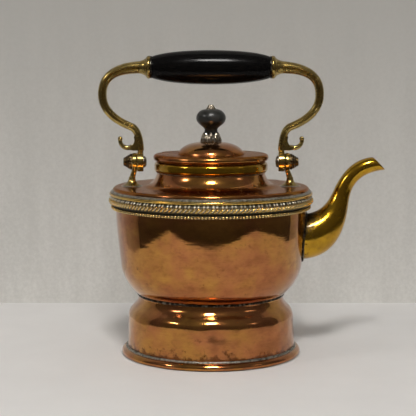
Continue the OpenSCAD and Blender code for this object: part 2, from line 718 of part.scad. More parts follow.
foot_ring();
foot_plate();
foot_solder();
foot_drum();
waist_solder();
bowl();
spout();
spout_solder();
gallery_band();
band_solder();
shoulder();
neck_ring();
neck_solder();
post(-1);  // post_left
post(1);  // post_right
post_solder();
post_washers();
post_nuts();
pivot_bolt(-1);  // pivot_bolt_left
pivot_bolt(1);  // pivot_bolt_right
pivot_nut(-1);  // pivot_nut_left
pivot_nut(1);  // pivot_nut_right
lid_shell();
lid_rim();
lid_flange();
knob_calyx();
knob();
knob_cap();
knob_rod();
knob_washer();
knob_nut();
arm(-1);  // arm_left
arm(1);  // arm_right
grip();
grip_rod();
grip_washers();
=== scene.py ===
# A copper kettle on its foot, with a brass spout, a stamped brass band and a swinging handle.
# Lengths are written in millimetres and turned to metres where a mesh is made.

import math

import bmesh
import bpy
from mathutils import Matrix, Vector, noise


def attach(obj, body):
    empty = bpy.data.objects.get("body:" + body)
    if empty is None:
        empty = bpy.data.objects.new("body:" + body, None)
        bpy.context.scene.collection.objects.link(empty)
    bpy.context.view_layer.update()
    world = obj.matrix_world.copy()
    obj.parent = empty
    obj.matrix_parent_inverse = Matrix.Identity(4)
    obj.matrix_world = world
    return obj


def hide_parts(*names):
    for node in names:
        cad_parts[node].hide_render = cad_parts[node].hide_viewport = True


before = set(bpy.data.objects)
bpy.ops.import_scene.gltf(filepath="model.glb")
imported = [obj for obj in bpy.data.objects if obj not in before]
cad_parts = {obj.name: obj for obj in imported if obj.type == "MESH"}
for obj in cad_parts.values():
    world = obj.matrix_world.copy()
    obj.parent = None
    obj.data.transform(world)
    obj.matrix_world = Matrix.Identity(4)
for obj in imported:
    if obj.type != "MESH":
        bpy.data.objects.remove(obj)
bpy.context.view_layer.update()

MM = 0.001
WELD = 1e-6
SAME_POINT = 0.02

# Foot
FOOT_RING_R = 81.2
FOOT_RING_H = 6.5
FOOT_EDGE_W = 1.8
FOOT_BELLY_Z = 2.2
DRUM_R = 76.0
DRUM_TOP_R = 75.0
DRUM_SHOULDER_Z = 34.0
WAIST_R = 65.6
WAIST_Z = 53.8
STAIN_Z = 8.0
STAIN_TOP_Z = 19.0

# Bowl, band and shoulder
SHEET_T = 1.2
BOWL_R = 86.0
BELLY_R = 82.0
BELLY_Z = 82.0
BOWL_FULL_Z = 128.0
BAND_Z = 132.0
RIM_R = 88.3
RIM_Z = 148.3
SHOULDER_Z = 152.0
RIM_ROUND_R = 2.2
COVE_R = 64.0
COVE_W = 15.5
COVE_H = 12.3
NECK_R = 48.5
MOUTH_Z = 174.2
NECK_RING_H = 9.2
NECK_RING_W = 2.6
SPOUT_HOLE_R = 13.0
SPOUT_HOLE_CUT = 40.0
SPOUT_ROOT_Z = 106.0
PAINTED_SHADE_REACH = 16.0

# Lid and knob
LID_Z = 174.6
LID_R = 52.0
LID_ROLL_R = 3.35
LID_T = 1.0
LID_FLAT_Z = 181.0
DOME_R = 30.0
DOME_Z = 191.7
COLLAR_R = 46.9
CALYX_R = 9.3
CUP_FLOOR_Z = 194.0
KNOB_NECK_R = 5.9
KNOB_WAIST_Z = 202.8
KNOB_R = 13.3
KNOB_BELLY_Z = 213.2
KNOB_TOP_Z = 221.2
KNOB_CAP_R = 4.7
KNOB_ROD_R = 1.7

# Handle
PIVOT_Z = 174.0
GRIP_Z = 258.6
GRIP_HALF = 53.0
GRIP_R = 15.3
GRIP_END_R = 9.8
GRIP_BORE_R = 3.1
COLLAR_X = 54.0
GRIP_COLLAR_R = 10.4
GRIP_COLLAR_L = 10.0
EYE_IN_X = 60.7
EYE_T = 5.6
EYE_R = 8.85
ARM_R = 3.9
POST_X = 71.3
POST_FOOT_R = 8.0
POST_WAIST_R = 2.5
POST_HEAD_X = 66.5
POST_HEAD_T = 4.5
POST_HEAD_R = 8.0
POST_STUD_Z = 143.6
BOLT_R = 3.05


def linear(hex_colour):
    """An sRGB hex colour as the linear values that a shader takes."""
    parts = [int(hex_colour[i:i + 2], 16) / 255 for i in (1, 3, 5)]
    return (*[c / 12.92 if c <= 0.04045 else ((c + 0.055) / 1.055) ** 2.4 for c in parts], 1.0)


def add(tree, kind, *values, out=None, stops=(), **settings):
    """Adds a node and gives one of its outputs: the named one, or the first that is in use.

    The values go to the inputs that are in use, in their order, as constants, hex colours or other nodes'
    outputs. None leaves an input as it is. Stops are the places and the colours of a ramp.
    """
    node = tree.nodes.new("ShaderNode" + kind)
    for name, value in settings.items():
        setattr(node, name, value)
    for place, (at, colour) in enumerate(stops):
        ramp = node.color_ramp.elements
        stop = ramp[place] if place < len(ramp) else ramp.new(at)
        stop.position = at
        stop.color = linear(colour)
    for socket, value in zip([one for one in node.inputs if one.enabled], values):
        if isinstance(value, bpy.types.NodeSocket):
            tree.links.new(value, socket)
        elif value is not None:
            socket.default_value = linear(value) if isinstance(value, str) else value
    return node.outputs[out] if out else next(one for one in node.outputs if one.enabled)


def blank(name, **constants):
    """A material with only its surface shader, and the numbers that are the same all over it."""
    made = bpy.data.materials.new(name)
    made.use_nodes = True
    shader = made.node_tree.nodes["Principled BSDF"]
    for socket, value in constants.items():
        shader.inputs[socket.replace("_", " ")].default_value = value
    return made, made.node_tree, shader


def place_along(tree, axis):
    """How far a point lies along one axis of the kettle, in metres."""
    return add(tree, "SeparateXYZ", add(tree, "TexCoord", out="Object"), out=axis)


def pattern(tree, size, stretch=(1, 1, 1), detail=4.0, roughness=0.55, seed=0.0):
    """Noise whose features are about size millimetres, wider along an axis whose stretch is above 1."""
    shift = (seed, seed * 0.7, seed * 0.3)
    scale = tuple(1 / wider for wider in stretch)
    where = add(tree, "Mapping", add(tree, "TexCoord", out="Object"), shift, None, scale)
    return add(tree, "TexNoise", where, 1 / (size * MM), detail, roughness)


def raised(tree, shader, height, depth, normal=None):
    """Joins a bump of so many millimetres to the shader."""
    bumped = add(tree, "Bump", 1.0, depth * MM, None, height, normal)
    tree.links.new(bumped, shader.inputs["Normal"])
    return bumped


def two_tone(name, marks, reach, colours, gloss, bump, **constants):
    """A finish that turns from one colour and roughness to another with its marks.

    Marks are a pattern's settings, and reach is the two values of it at which the colours are pure.
    """
    made, tree, shader = blank(name, **constants)
    marked = pattern(tree, **marks)
    tone = add(tree, "MapRange", marked, *reach)
    tree.links.new(add(tree, "Mix", tone, *colours, data_type="RGBA"), shader.inputs["Base Color"])
    tree.links.new(add(tree, "MapRange", marked, 0.3, 0.7, *gloss), shader.inputs["Roughness"])
    if bump:
        raised(tree, shader, marked, bump)
    return made


def polished_copper():
    """Raised copper sheet, polished by hand.

    To the eye a mirror that is dull and brown in patches, with level polishing marks.
    """
    made, tree, shader = blank("polished_copper", Metallic=1.0, Coat_Roughness=0.08)
    patches = pattern(tree, 34, detail=5.0, seed=0.11)
    clouds = pattern(tree, 11, stretch=(2, 2, 1), detail=4.0, seed=0.37)
    strokes = pattern(tree, 3.0, stretch=(7, 7, 0.5), detail=3.0, seed=0.52)
    tarnish = add(tree, "MapRange", add(tree, "Mix", 0.4, patches, clouds), 0.40, 0.62)
    warm = add(tree, "MapRange", patches, 0.42, 0.60)
    clean = add(tree, "Mix", warm, "#C78F44", "#CD8253", data_type="RGBA")
    wiped = add(tree, "MapRange", strokes, 0.35, 0.65, 0.0, 0.4)
    clean = add(tree, "Mix", wiped, clean, "#B5773C", data_type="RGBA")
    rubbed = add(tree, "MapRange", strokes, 0.3, 0.7)
    dull = add(tree, "Mix", rubbed, "#8C5229", "#A4693C", data_type="RGBA")
    dulled = add(tree, "Math", tarnish, 0.75, operation="MULTIPLY")
    body = add(tree, "Mix", dulled, clean, dull, data_type="RGBA")
    blotches = pattern(tree, 5.5, stretch=(1.7, 1.7, 1), detail=8.0, roughness=0.74, seed=0.94)
    blotched = add(tree, "MapRange", blotches, 0.47, 0.66, 0.0, 0.42)
    body = add(tree, "Mix", blotched, body, "#7E4C24", data_type="RGBA")

    # Dark stains gather on the drum just above the foot's tin bead and thin out upwards
    height = place_along(tree, "Z")
    low = add(tree, "MapRange", height, STAIN_Z * MM, STAIN_TOP_Z * MM, 0.17, 0.0)
    line = add(tree, "MapRange", height, STAIN_Z * MM, (STAIN_Z + 3) * MM, 0.14, 0.0)
    gathered = add(tree, "Math", line, low, operation="ADD")
    stains = pattern(tree, 6, detail=6.0, roughness=0.7, seed=0.83)
    stained = add(tree, "Math", stains, gathered, operation="ADD")
    stained = add(tree, "MapRange", stained, 0.61, 0.74, 0.0, 0.75)
    above_ring = add(tree, "MapRange", height, (STAIN_Z - 2) * MM, STAIN_Z * MM)
    stained = add(tree, "Math", stained, above_ring, operation="MULTIPLY")
    body = add(tree, "Mix", stained, body, "#5A2E14", data_type="RGBA")

    # The ring's lower edge is painted nearly black where it stands on the table: a painted contact shadow
    painted_contact_shadow = add(tree, "MapRange", height, 0.5 * MM, 1.7 * MM, 0.85, 0.0)
    body = add(tree, "Mix", painted_contact_shadow, body, "#1E130C", data_type="RGBA")

    # The flats of the shoulder and of the lid are wiped to a brown satin, with less shine at a low angle
    flats = []
    for flat_z in (SHOULDER_Z, LID_FLAT_Z):
        above = add(tree, "Math", height, flat_z * MM, operation="SUBTRACT")
        off = add(tree, "Math", above, operation="ABSOLUTE")
        flats.append(add(tree, "MapRange", off, 0.8 * MM, 3.5 * MM, 1.0, 0.0))
    satin = add(tree, "Math", *flats, operation="ADD")
    browned = add(tree, "Math", satin, 0.15, operation="MULTIPLY")
    body = add(tree, "Mix", browned, body, "#6E4020", data_type="RGBA")
    tree.links.new(body, shader.inputs["Base Color"])
    edge_tint = add(tree, "Mix", satin, "#FFFFFF", "#D2BAA8", data_type="RGBA")
    tree.links.new(edge_tint, shader.inputs["Specular Tint"])
    tree.links.new(add(tree, "MapRange", satin, 0.0, 1.0, 0.28, 0.05), shader.inputs["Coat Weight"])

    # The bowl is polished most; the top of the kettle is softer, and the foot a little
    gloss = add(tree, "MapRange", tarnish, 0.0, 1.0, 0.045, 0.12)
    gloss = add(tree, "Math", stained, 0.25, gloss, operation="MULTIPLY_ADD")
    gloss = add(tree, "Math", satin, 0.08, gloss, operation="MULTIPLY_ADD")
    top = add(tree, "MapRange", height, (SHOULDER_Z - 2) * MM, (SHOULDER_Z + 2) * MM, 0.0, 0.09)
    under = add(tree, "MapRange", height, (WAIST_Z - 3) * MM, (WAIST_Z + 2) * MM, 0.05, 0.0)
    gloss = add(tree, "Math", gloss, add(tree, "Math", top, under, operation="ADD"), operation="ADD")
    tree.links.new(gloss, shader.inputs["Roughness"])
    hammered = pattern(tree, 16, stretch=(1.8, 1.8, 1), detail=3.0, seed=0.21)
    soft = raised(tree, shader, hammered, 0.12)
    raised(tree, shader, strokes, 0.012, soft)
    return made


def polished_brass():
    """Cast brass, polished bright on its faces and left olive where a cloth doesn't reach, with a painted
    shade at the root of the spout.
    """
    made, tree, shader = blank("polished_brass", Metallic=1.0, Coat_Weight=0.3, Coat_Roughness=0.08)
    clouds = pattern(tree, 9, detail=4.0, seed=0.19)
    olive = add(tree, "MapRange", clouds, 0.38, 0.68)
    body = add(tree, "Mix", olive, "#C99B22", "#A67D1E", data_type="RGBA")
    # A painted shade darkens the root of the spout next to the bowl, most of all on top under the band, with
    # a ragged edge
    out = place_along(tree, "X")
    up = place_along(tree, "Z")
    near = add(tree, "MapRange", out, BOWL_R * MM, (BOWL_R + PAINTED_SHADE_REACH) * MM, 0.55, 0.0)
    high = add(tree, "MapRange", up, SPOUT_ROOT_Z * MM, (SPOUT_ROOT_Z + PAINTED_SHADE_REACH) * MM, 0.0, 0.5)
    painted_root_shade = add(tree, "Math", near, high, operation="ADD")
    painted_root_shade = add(tree, "Math", painted_root_shade, pattern(tree, 4, detail=5.0, seed=0.58), operation="ADD")
    painted_root_shade = add(tree, "MapRange", painted_root_shade, 1.05, 1.3, 0.0, 0.9)
    # The ring around the neck is of this brass too, and gets none of the painted shade
    on_spout = add(tree, "MapRange", out, (BOWL_R - 6) * MM, (BOWL_R - 5) * MM)
    painted_root_shade = add(tree, "Math", painted_root_shade, on_spout, operation="MULTIPLY")
    body = add(tree, "Mix", painted_root_shade, body, "#2B241C", data_type="RGBA")
    tree.links.new(body, shader.inputs["Base Color"])
    gloss = add(tree, "MapRange", clouds, 0.3, 0.7, 0.10, 0.22)
    gloss = add(tree, "Math", painted_root_shade, 0.3, gloss, operation="MULTIPLY_ADD")
    tree.links.new(gloss, shader.inputs["Roughness"])
    raised(tree, shader, pattern(tree, 7, detail=3.0, seed=0.4), 0.03)
    return made


def handled_brass():
    """Cast brass of the handle, dulled to olive by hands, with a darker smear on some faces."""
    made, tree, shader = blank("handled_brass", Metallic=1.0, Coat_Weight=0.25, Coat_Roughness=0.15)
    clouds = pattern(tree, 6, detail=5.0, seed=0.27)
    marks = pattern(tree, 1.4, stretch=(1, 1, 3), detail=3.0, seed=0.61)
    olive = add(tree, "MapRange", clouds, 0.36, 0.66)
    body = add(tree, "Mix", olive, "#BDA25C", "#8A7641", data_type="RGBA")
    smeared = add(tree, "MapRange", marks, 0.5, 0.8, 0.0, 0.25)
    body = add(tree, "Mix", smeared, body, "#5E4F2C", data_type="RGBA")
    tree.links.new(body, shader.inputs["Base Color"])
    tree.links.new(add(tree, "MapRange", clouds, 0.3, 0.7, 0.17, 0.30), shader.inputs["Roughness"])
    raised(tree, shader, pattern(tree, 4, detail=3.0, seed=0.8), 0.05)
    return made


def stamped_brass():
    """Stamped brass strip: golden where it is rubbed, nearly black with old polish in its hollows, with a
    painted highlight, nearly white, on the crests of the leaves and tips.
    """
    made, tree, shader = blank("stamped_brass", Metallic=1.0)
    rubbed = add(tree, "Attribute", attribute_name="rubbed", out="Fac")
    paler = add(tree, "MapRange", pattern(tree, 12, seed=0.6), 0.35, 0.65)
    golden = add(tree, "Mix", paler, "#E6B452", "#D6B96E", data_type="RGBA")
    # Crests whose rubbed value rises above 0.9 are whitened: a painted highlight, not wear
    crest = add(tree, "MapRange", rubbed, 0.9, 1.4)
    golden = add(tree, "Mix", crest, golden, "#E8E4D6", data_type="RGBA")
    bare = add(tree, "MapRange", rubbed, 0.0, 0.55)
    body = add(tree, "Mix", bare, "#575042", golden, data_type="RGBA")
    tree.links.new(body, shader.inputs["Base Color"])
    worn = add(tree, "MapRange", rubbed, 0.1, 0.8, 0.55, 0.20)
    scratched = add(tree, "MapRange", rubbed, 1.0, 1.4, 0.0, 0.28)
    tree.links.new(add(tree, "Math", worn, scratched, operation="ADD"), shader.inputs["Roughness"])
    return made


def dull_tin():
    """Hand-run tin solder: grey, dull and lumpy, with brighter scraped places."""
    marks = {"size": 2.2, "seed": 0.71}
    return two_tone("dull_tin", marks, (0.35, 0.65), ("#6F6C64", "#B9B5AA"), (0.5, 0.3), 0.15, Metallic=1.0)


def dark_tin():
    """The old solder at the waist and the spout, blackened in its corner."""
    marks = {"size": 3.0, "seed": 0.33}
    return two_tone("dark_tin", marks, (0.5, 0.72), ("#2A2622", "#8C887C"), (0.55, 0.35), 0.2, Metallic=1.0)


def ebonised_wood():
    """Turned wood, stained black and waxed: a soft satin gloss with a faint grain along the grip."""
    made, tree, shader = blank("ebonised_wood", IOR=1.45, Specular_IOR_Level=0.11)
    grain = pattern(tree, 0.9, stretch=(18, 1, 1), detail=3.0, seed=0.47)
    tone = add(tree, "MapRange", grain, 0.4, 0.7)
    black = add(tree, "Mix", tone, "#080808", "#100E0D", data_type="RGBA")
    tree.links.new(black, shader.inputs["Base Color"])
    wax = add(tree, "MapRange", pattern(tree, 14, seed=0.9), 0.3, 0.7, 0.13, 0.21)
    tree.links.new(wax, shader.inputs["Roughness"])
    raised(tree, shader, grain, 0.02)
    return made


def worn_black():
    """The knob's old black finish on wood, rubbed to a soft grey by fingers."""
    marks = {"size": 7, "seed": 0.35}
    return two_tone("worn_black_wood", marks, (0.38, 0.66), ("#1C1C1B", "#343431"), (0.26, 0.38), 0.04,
                    IOR=1.45, Specular_IOR_Level=0.5)


def dark_bronze():
    """Cast bronze left to darken, with a grey shine on its edges."""
    marks = {"size": 2.5, "detail": 5.0, "seed": 0.15}
    return two_tone("dark_bronze", marks, (0.38, 0.66), ("#5F5549", "#ABA190"), (0.38, 0.22), 0.08,
                    Metallic=1.0)


def tarnished_brass():
    """Brass nuts and bolts gone brown, with old polish in their corners."""
    marks = {"size": 2.0, "detail": 5.0, "seed": 0.55}
    return two_tone("tarnished_brass", marks, (0.40, 0.66), ("#2C2216", "#625135"), (0.48, 0.30), 0.08,
                    Metallic=1.0)


def plain_steel():
    """Turned steel for the rods, nuts and washers inside: grey with fine tool marks."""
    marks = {"size": 1.2, "stretch": (1, 1, 0.3), "detail": 2.0, "seed": 0.66}
    return two_tone("plain_steel", marks, (0.3, 0.7), ("#8B8B8C", "#A9A9A8"), (0.28, 0.42), 0, Metallic=1.0)


COPPER = polished_copper()
BRASS = polished_brass()
HANDLED = handled_brass()
STAMPED = stamped_brass()
TIN = dull_tin()
DARK_TIN = dark_tin()
WOOD = ebonised_wood()
KNOB_BLACK = worn_black()
BRONZE = dark_bronze()
TARNISHED = tarnished_brass()
STEEL = plain_steel()


# Outlines are lists of (radius, height) pairs in millimetres

def bezier(p0, p1, p2, p3, n=20):
    """A curve in n steps from p0 to p3, drawn towards p1 and p2."""
    steps = [i / n for i in range(n + 1)]
    return [tuple((1 - t) ** 3 * a + 3 * (1 - t) ** 2 * t * b + 3 * (1 - t) * t * t * c + t ** 3 * d
                  for a, b, c, d in zip(p0, p1, p2, p3)) for t in steps]


def arc(centre, rx, ry, start, end, n=12):
    """Part of an oval in n steps, from one angle in degrees to another."""
    angles = [math.radians(start + (end - start) * i / n) for i in range(n + 1)]
    return [(centre[0] + rx * math.cos(a), centre[1] + ry * math.sin(a)) for a in angles]


def tidy(points):
    """The outline without points that lie on each other."""
    kept = [points[0]]
    for point in points[1:]:
        if math.dist(point, kept[-1]) > SAME_POINT:
            kept.append(point)
    return kept


def beside(points, distance):
    """The outline moved to its left, which is inwards for a wall drawn upwards."""
    moved = []
    for i, point in enumerate(points):
        before = Vector(points[max(i - 1, 0)])
        after = Vector(points[min(i + 1, len(points) - 1)])
        run = (after - before).normalized()
        moved.append((point[0] - run.y * distance, point[1] + run.x * distance))
    return moved


def wall(points):
    """A closed outline of the copper sheet behind the outline."""
    points = tidy(points)
    return points + beside(points, SHEET_T)[::-1]


def repeated(mesh, count):
    """The mesh's shape set so many times around the kettle's axis."""
    turn = math.tau / count
    bmesh.ops.spin(mesh, geom=mesh.verts[:] + mesh.edges[:] + mesh.faces[:], axis=(0, 0, 1), cent=(0, 0, 0),
                   angle=math.tau - turn, steps=count - 1, use_duplicate=True)
    return mesh


def joined(mesh, *others):
    """Moves the shapes of other bmeshes into the first one."""
    for other in others:
        data = bpy.data.meshes.new("part")
        other.to_mesh(data)
        other.free()
        mesh.from_mesh(data)
        bpy.data.meshes.remove(data)
    return mesh


def spun(outline, steps):
    """A bmesh turned about the kettle's axis from a closed outline: an eighth first, then seven copies."""
    mesh = bmesh.new()
    points = [mesh.verts.new((r * MM, 0, z * MM)) for r, z in outline]
    edges = [mesh.edges.new(pair) for pair in zip(points, points[1:] + points[:1])]
    bmesh.ops.spin(mesh, geom=points + edges, axis=(0, 0, 1), cent=(0, 0, 0), angle=math.tau / 8,
                   steps=steps // 8)
    repeated(mesh, 8)
    bmesh.ops.remove_doubles(mesh, verts=mesh.verts, dist=WELD)
    return mesh


def loop(mesh, centre, first, second, sides):
    """The edges of an oval around a centre, in millimetres, with its two half-axes given."""
    placed = Matrix((first, second, first.cross(second).normalized())).transposed().to_4x4()
    placed.translation = centre
    placed = Matrix.Scale(MM, 4) @ placed
    made = bmesh.ops.create_circle(mesh, segments=sides, radius=1.0, matrix=placed)["verts"]
    return list({edge for vert in made for edge in vert.link_edges})


def tube(mesh, loops, ends=True):
    """Skins a row of loops, and closes both ends or joins the last loop to the first."""
    for near, far in zip(loops, loops[1:]):
        bmesh.ops.bridge_loops(mesh, edges=near + far)
    if ends:
        bmesh.ops.holes_fill(mesh, edges=loops[0] + loops[-1], sides=0)
    else:
        bmesh.ops.bridge_loops(mesh, edges=loops[-1] + loops[0])
    return mesh


def slab(corners, thickness, axes, centre):
    """A flat plate under a polygon: corners along the first two axes, its thickness along the third."""
    mesh = bmesh.new()
    u, v, w = axes
    verts = [mesh.verts.new((centre + u * a + v * b - w * thickness / 2) * MM) for a, b in corners]
    face = mesh.faces.new(verts)
    pulled = bmesh.ops.extrude_face_region(mesh, geom=[face])["geom"]
    far = [made for made in pulled if isinstance(made, bmesh.types.BMVert)]
    bmesh.ops.translate(mesh, vec=w * thickness * MM, verts=far)
    return mesh


def along_x(mesh, x, z):
    """Turns a spun mesh so that its axis runs along +X, and moves it there."""
    place = Matrix.Translation((x * MM, 0, z * MM)) @ Matrix.Rotation(math.pi / 2, 4, "Y")
    bmesh.ops.transform(mesh, matrix=place, verts=mesh.verts)
    return mesh


def dented(mesh, depth, size, seed):
    """Moves a sheet in and out by gentle dents, the same on both of its faces."""
    for vert in mesh.verts:
        out = Vector((vert.co.x, vert.co.y, 0)).normalized()
        vert.co += out * depth * MM * noise.noise(vert.co / (size * MM) + Vector((seed, 0, 0)))


def lumpy(mesh, depth, size, seed):
    """Moves each point along its normal by small lumps, as solder runs."""
    mesh.normal_update()
    for vert in mesh.verts:
        vert.co += vert.normal * depth * MM * noise.noise(vert.co / (size * MM) + Vector((seed, seed, 0)))


def piece(name, mesh, finish, body, stands_for, sharp=40):
    """Makes a bmesh a finished piece that rides on a body and stands for its CAD nodes."""
    bmesh.ops.remove_doubles(mesh, verts=mesh.verts, dist=WELD)
    bmesh.ops.recalc_face_normals(mesh, faces=mesh.faces)
    data = bpy.data.meshes.new(name)
    mesh.to_mesh(data)
    mesh.free()
    data.polygons.foreach_set("use_smooth", [True] * len(data.polygons))
    data.set_sharp_from_angle(angle=math.radians(sharp))
    data.materials.append(finish)
    made = bpy.data.objects.new(name, data)
    bpy.context.scene.collection.objects.link(made)
    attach(made, body)
    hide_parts(*stands_for)
    return made


def applied(made):
    """Turns a piece's modifiers into its mesh."""
    graph = bpy.context.evaluated_depsgraph_get()
    data = bpy.data.meshes.new_from_object(made.evaluated_get(graph))
    finish = made.data.materials[0]
    made.modifiers.clear()
    made.data = data
    if not data.materials:
        data.materials.append(finish)


def fused(made, voxel, rounds):
    """Joins a piece's shells into one casting, with small fillets where they meet."""
    remesh = made.modifiers.new("cast", "REMESH")
    remesh.mode = "VOXEL"
    remesh.voxel_size = voxel * MM
    remesh.use_smooth_shade = True
    smooth = made.modifiers.new("fettle", "SMOOTH")
    smooth.factor = 0.5
    smooth.iterations = rounds
    applied(made)


# Foot

def foot():
    edge = (FOOT_RING_R - FOOT_EDGE_W, FOOT_BELLY_Z)
    ring = tidy([(DRUM_R, 0)] + arc(edge, FOOT_EDGE_W, FOOT_BELLY_Z, -90, 0)
                + arc((DRUM_R, FOOT_BELLY_Z), FOOT_RING_R - DRUM_R, FOOT_RING_H - FOOT_BELLY_Z, 6, 90, 16))
    mesh = spun(ring, 192)
    lumpy(mesh, 0.12, 14, 3.0)
    for vert in mesh.verts:
        vert.co.z = max(vert.co.z, 0.0)
    piece("rolled_foot_ring", mesh, COPPER, "kettle", ["foot_ring"])

    middle = (DRUM_SHOULDER_Z + WAIST_Z) / 2
    rise = [(DRUM_R - (DRUM_R - DRUM_TOP_R) * i / 12, SHEET_T + (DRUM_SHOULDER_Z - SHEET_T) * i / 12)
            for i in range(12)]
    cove = bezier((DRUM_TOP_R, DRUM_SHOULDER_Z), (DRUM_TOP_R, middle), (WAIST_R, middle), (WAIST_R, WAIST_Z))
    mesh = spun(wall(rise + cove), 240)
    dented(mesh, 0.7, 28, 7.0)
    dented(mesh, 0.25, 9, 2.0)
    piece("raised_foot_drum", mesh, COPPER, "kettle", ["foot_drum"])

    bead = spun(arc((DRUM_R + 0.2, FOOT_RING_H + 0.2), 1.2, 1.3, 0, 330, 11), 240)
    lumpy(bead, 0.5, 2.4, 1.0)
    piece("tin_bead_at_the_foot", bead, TIN, "kettle", ["foot_solder"])

    bead = spun(arc((WAIST_R + 0.1, WAIST_Z + 0.8), 1.2, 1.1, 0, 330, 11), 240)
    lumpy(bead, 0.4, 3.0, 5.0)
    piece("tin_bead_at_the_waist", bead, DARK_TIN, "kettle", ["waist_solder"])


# Bowl

def bowl():
    inset = BELLY_R - WAIST_R
    foot_z = WAIST_Z + 0.8
    up = BELLY_Z - foot_z
    wall_up = BOWL_FULL_Z - BELLY_Z
    belly = (BELLY_R, BELLY_Z)
    low = bezier((WAIST_R, foot_z), (WAIST_R + 0.45 * inset, foot_z + 0.2 * up),
                 (BELLY_R - 0.06 * inset, BELLY_Z - 0.4 * up), belly, 26)
    high = bezier(belly, (BELLY_R + 0.33 * (BOWL_R - BELLY_R), BELLY_Z + 0.3 * wall_up),
                  (BOWL_R, BOWL_FULL_Z - 0.3 * wall_up), (BOWL_R, BOWL_FULL_Z), 22)
    mesh = spun(wall([(WAIST_R, WAIST_Z)] + low + high + [(BOWL_R, SHOULDER_Z - SHEET_T)]), 256)
    dented(mesh, 0.5, 55, 4.0)
    dented(mesh, 0.05, 16, 9.0)
    made = piece("raised_bowl", mesh, COPPER, "kettle", ["bowl"])

    # The hole behind the spout
    cutter = bmesh.new()
    bmesh.ops.create_cone(cutter, cap_ends=True, segments=48, radius1=SPOUT_HOLE_R * MM,
                          radius2=SPOUT_HOLE_R * MM, depth=SPOUT_HOLE_CUT * MM)
    along_x(cutter, BOWL_R, SPOUT_ROOT_Z)
    data = bpy.data.meshes.new("hole")
    cutter.to_mesh(data)
    cutter.free()
    hole = bpy.data.objects.new("hole", data)
    bpy.context.scene.collection.objects.link(hole)
    cut = made.modifiers.new("hole", "BOOLEAN")
    cut.operation = "DIFFERENCE"
    cut.solver = "EXACT"
    cut.object = hole
    applied(made)
    bpy.data.objects.remove(hole)


def shoulder():
    rim_in = RIM_R - RIM_ROUND_R
    neck_in = NECK_R - SHEET_T
    neck_z = SHOULDER_Z + COVE_H
    under_z = SHOULDER_Z - SHEET_T
    rim = arc((rim_in, SHOULDER_Z - RIM_ROUND_R), RIM_ROUND_R, RIM_ROUND_R, 0, 90, 10)
    flat = [(rim_in - (rim_in - COVE_R) * i / 10, SHOULDER_Z) for i in range(1, 10)]
    cove = bezier((COVE_R, SHOULDER_Z), (COVE_R - 0.58 * COVE_W, SHOULDER_Z),
                  (NECK_R + 0.13 * COVE_W, SHOULDER_Z + 0.4 * COVE_H), (NECK_R, neck_z), 26)
    neck = [(NECK_R, MOUTH_Z), (neck_in, MOUTH_Z), (neck_in, neck_z)]
    inside = bezier((neck_in, neck_z), (NECK_R + 0.08 * COVE_W, SHOULDER_Z + 0.3 * COVE_H),
                    (COVE_R - 0.6 * COVE_W, under_z), (COVE_R, under_z), 20)
    outline = [(BOWL_R, RIM_Z), (RIM_R, RIM_Z)] + rim + flat + cove + neck + inside + [(BOWL_R, under_z)]
    mesh = spun(tidy(outline), 240)
    dented(mesh, 0.25, 40, 11.0)
    piece("shoulder_and_neck", mesh, COPPER, "kettle", ["shoulder"])

    corner = NECK_RING_H / 3
    ring_z = MOUTH_Z - NECK_RING_H
    ring = tidy([(NECK_R, ring_z)] + arc((NECK_R, ring_z + corner), NECK_RING_W, corner, -70, 0, 10)
                + arc((NECK_R, MOUTH_Z - corner), NECK_RING_W, corner, 0, 70, 10) + [(NECK_R, MOUTH_Z)])
    piece("half_round_neck_ring", spun(ring, 160), BRASS, "kettle", ["neck_ring"])

    bead = spun(arc((NECK_R + 0.2, ring_z + 0.05), 0.8, 0.7, -180, 150, 10), 200)
    lumpy(bead, 0.25, 2.5, 8.0)
    piece("tin_line_under_the_ring", bead, TIN, "kettle", ["neck_solder"])


# Band of stamped brass: a row of beads, a row of slanted leaves and a plain moulding

BEADS = 190
LEAVES = 72
BEAD_ROW = (BOWL_R + 2.6, BAND_Z + 1.8)
BEAD_R = 1.4
LEAF_ROW = (BOWL_R + 2.4, BAND_Z + 8.3)
LEAF_ROW_H = 4.1
LEAF_BASE_R = 2.95
ORNAMENT_H = 0.95
MOULDING_Z = LEAF_ROW[1] + LEAF_ROW_H
BAND_TOP_Z = RIM_Z - 1.2


def on_leaf_row(s, t, h):
    """A point of the flat leaf strip laid on the convex row: s around the band, t up it, h proud of it."""
    lift = LEAF_BASE_R + h
    tilt = t / LEAF_BASE_R
    r = LEAF_ROW[0] + lift * math.cos(tilt)
    turn = s / (LEAF_ROW[0] + LEAF_BASE_R)
    return Vector((r * math.cos(turn), r * math.sin(turn), LEAF_ROW[1] + lift * math.sin(tilt))) * MM


def ornament(mesh, rubbed, centre, length, width, height, slant, shine=1.0):
    """One leaf, stroke or tip: half a long drop on the leaf strip, brightest on its crest, where a shine
    above 1 paints a highlight in the band's finish.
    """
    turn = Matrix.Rotation(math.radians(slant), 4, "Z")
    drop = bmesh.ops.create_uvsphere(mesh, u_segments=10, v_segments=6, radius=1.0)["verts"]
    for vert in drop:
        flat = turn @ Vector((vert.co.x * length / 2, vert.co.y * width / 2, 0))
        high = vert.co.z * height
        vert[rubbed] = shine * max(0.0, vert.co.z)
        vert.co = on_leaf_row(centre[0] + flat.x, centre[1] + flat.y, max(high, -0.4))


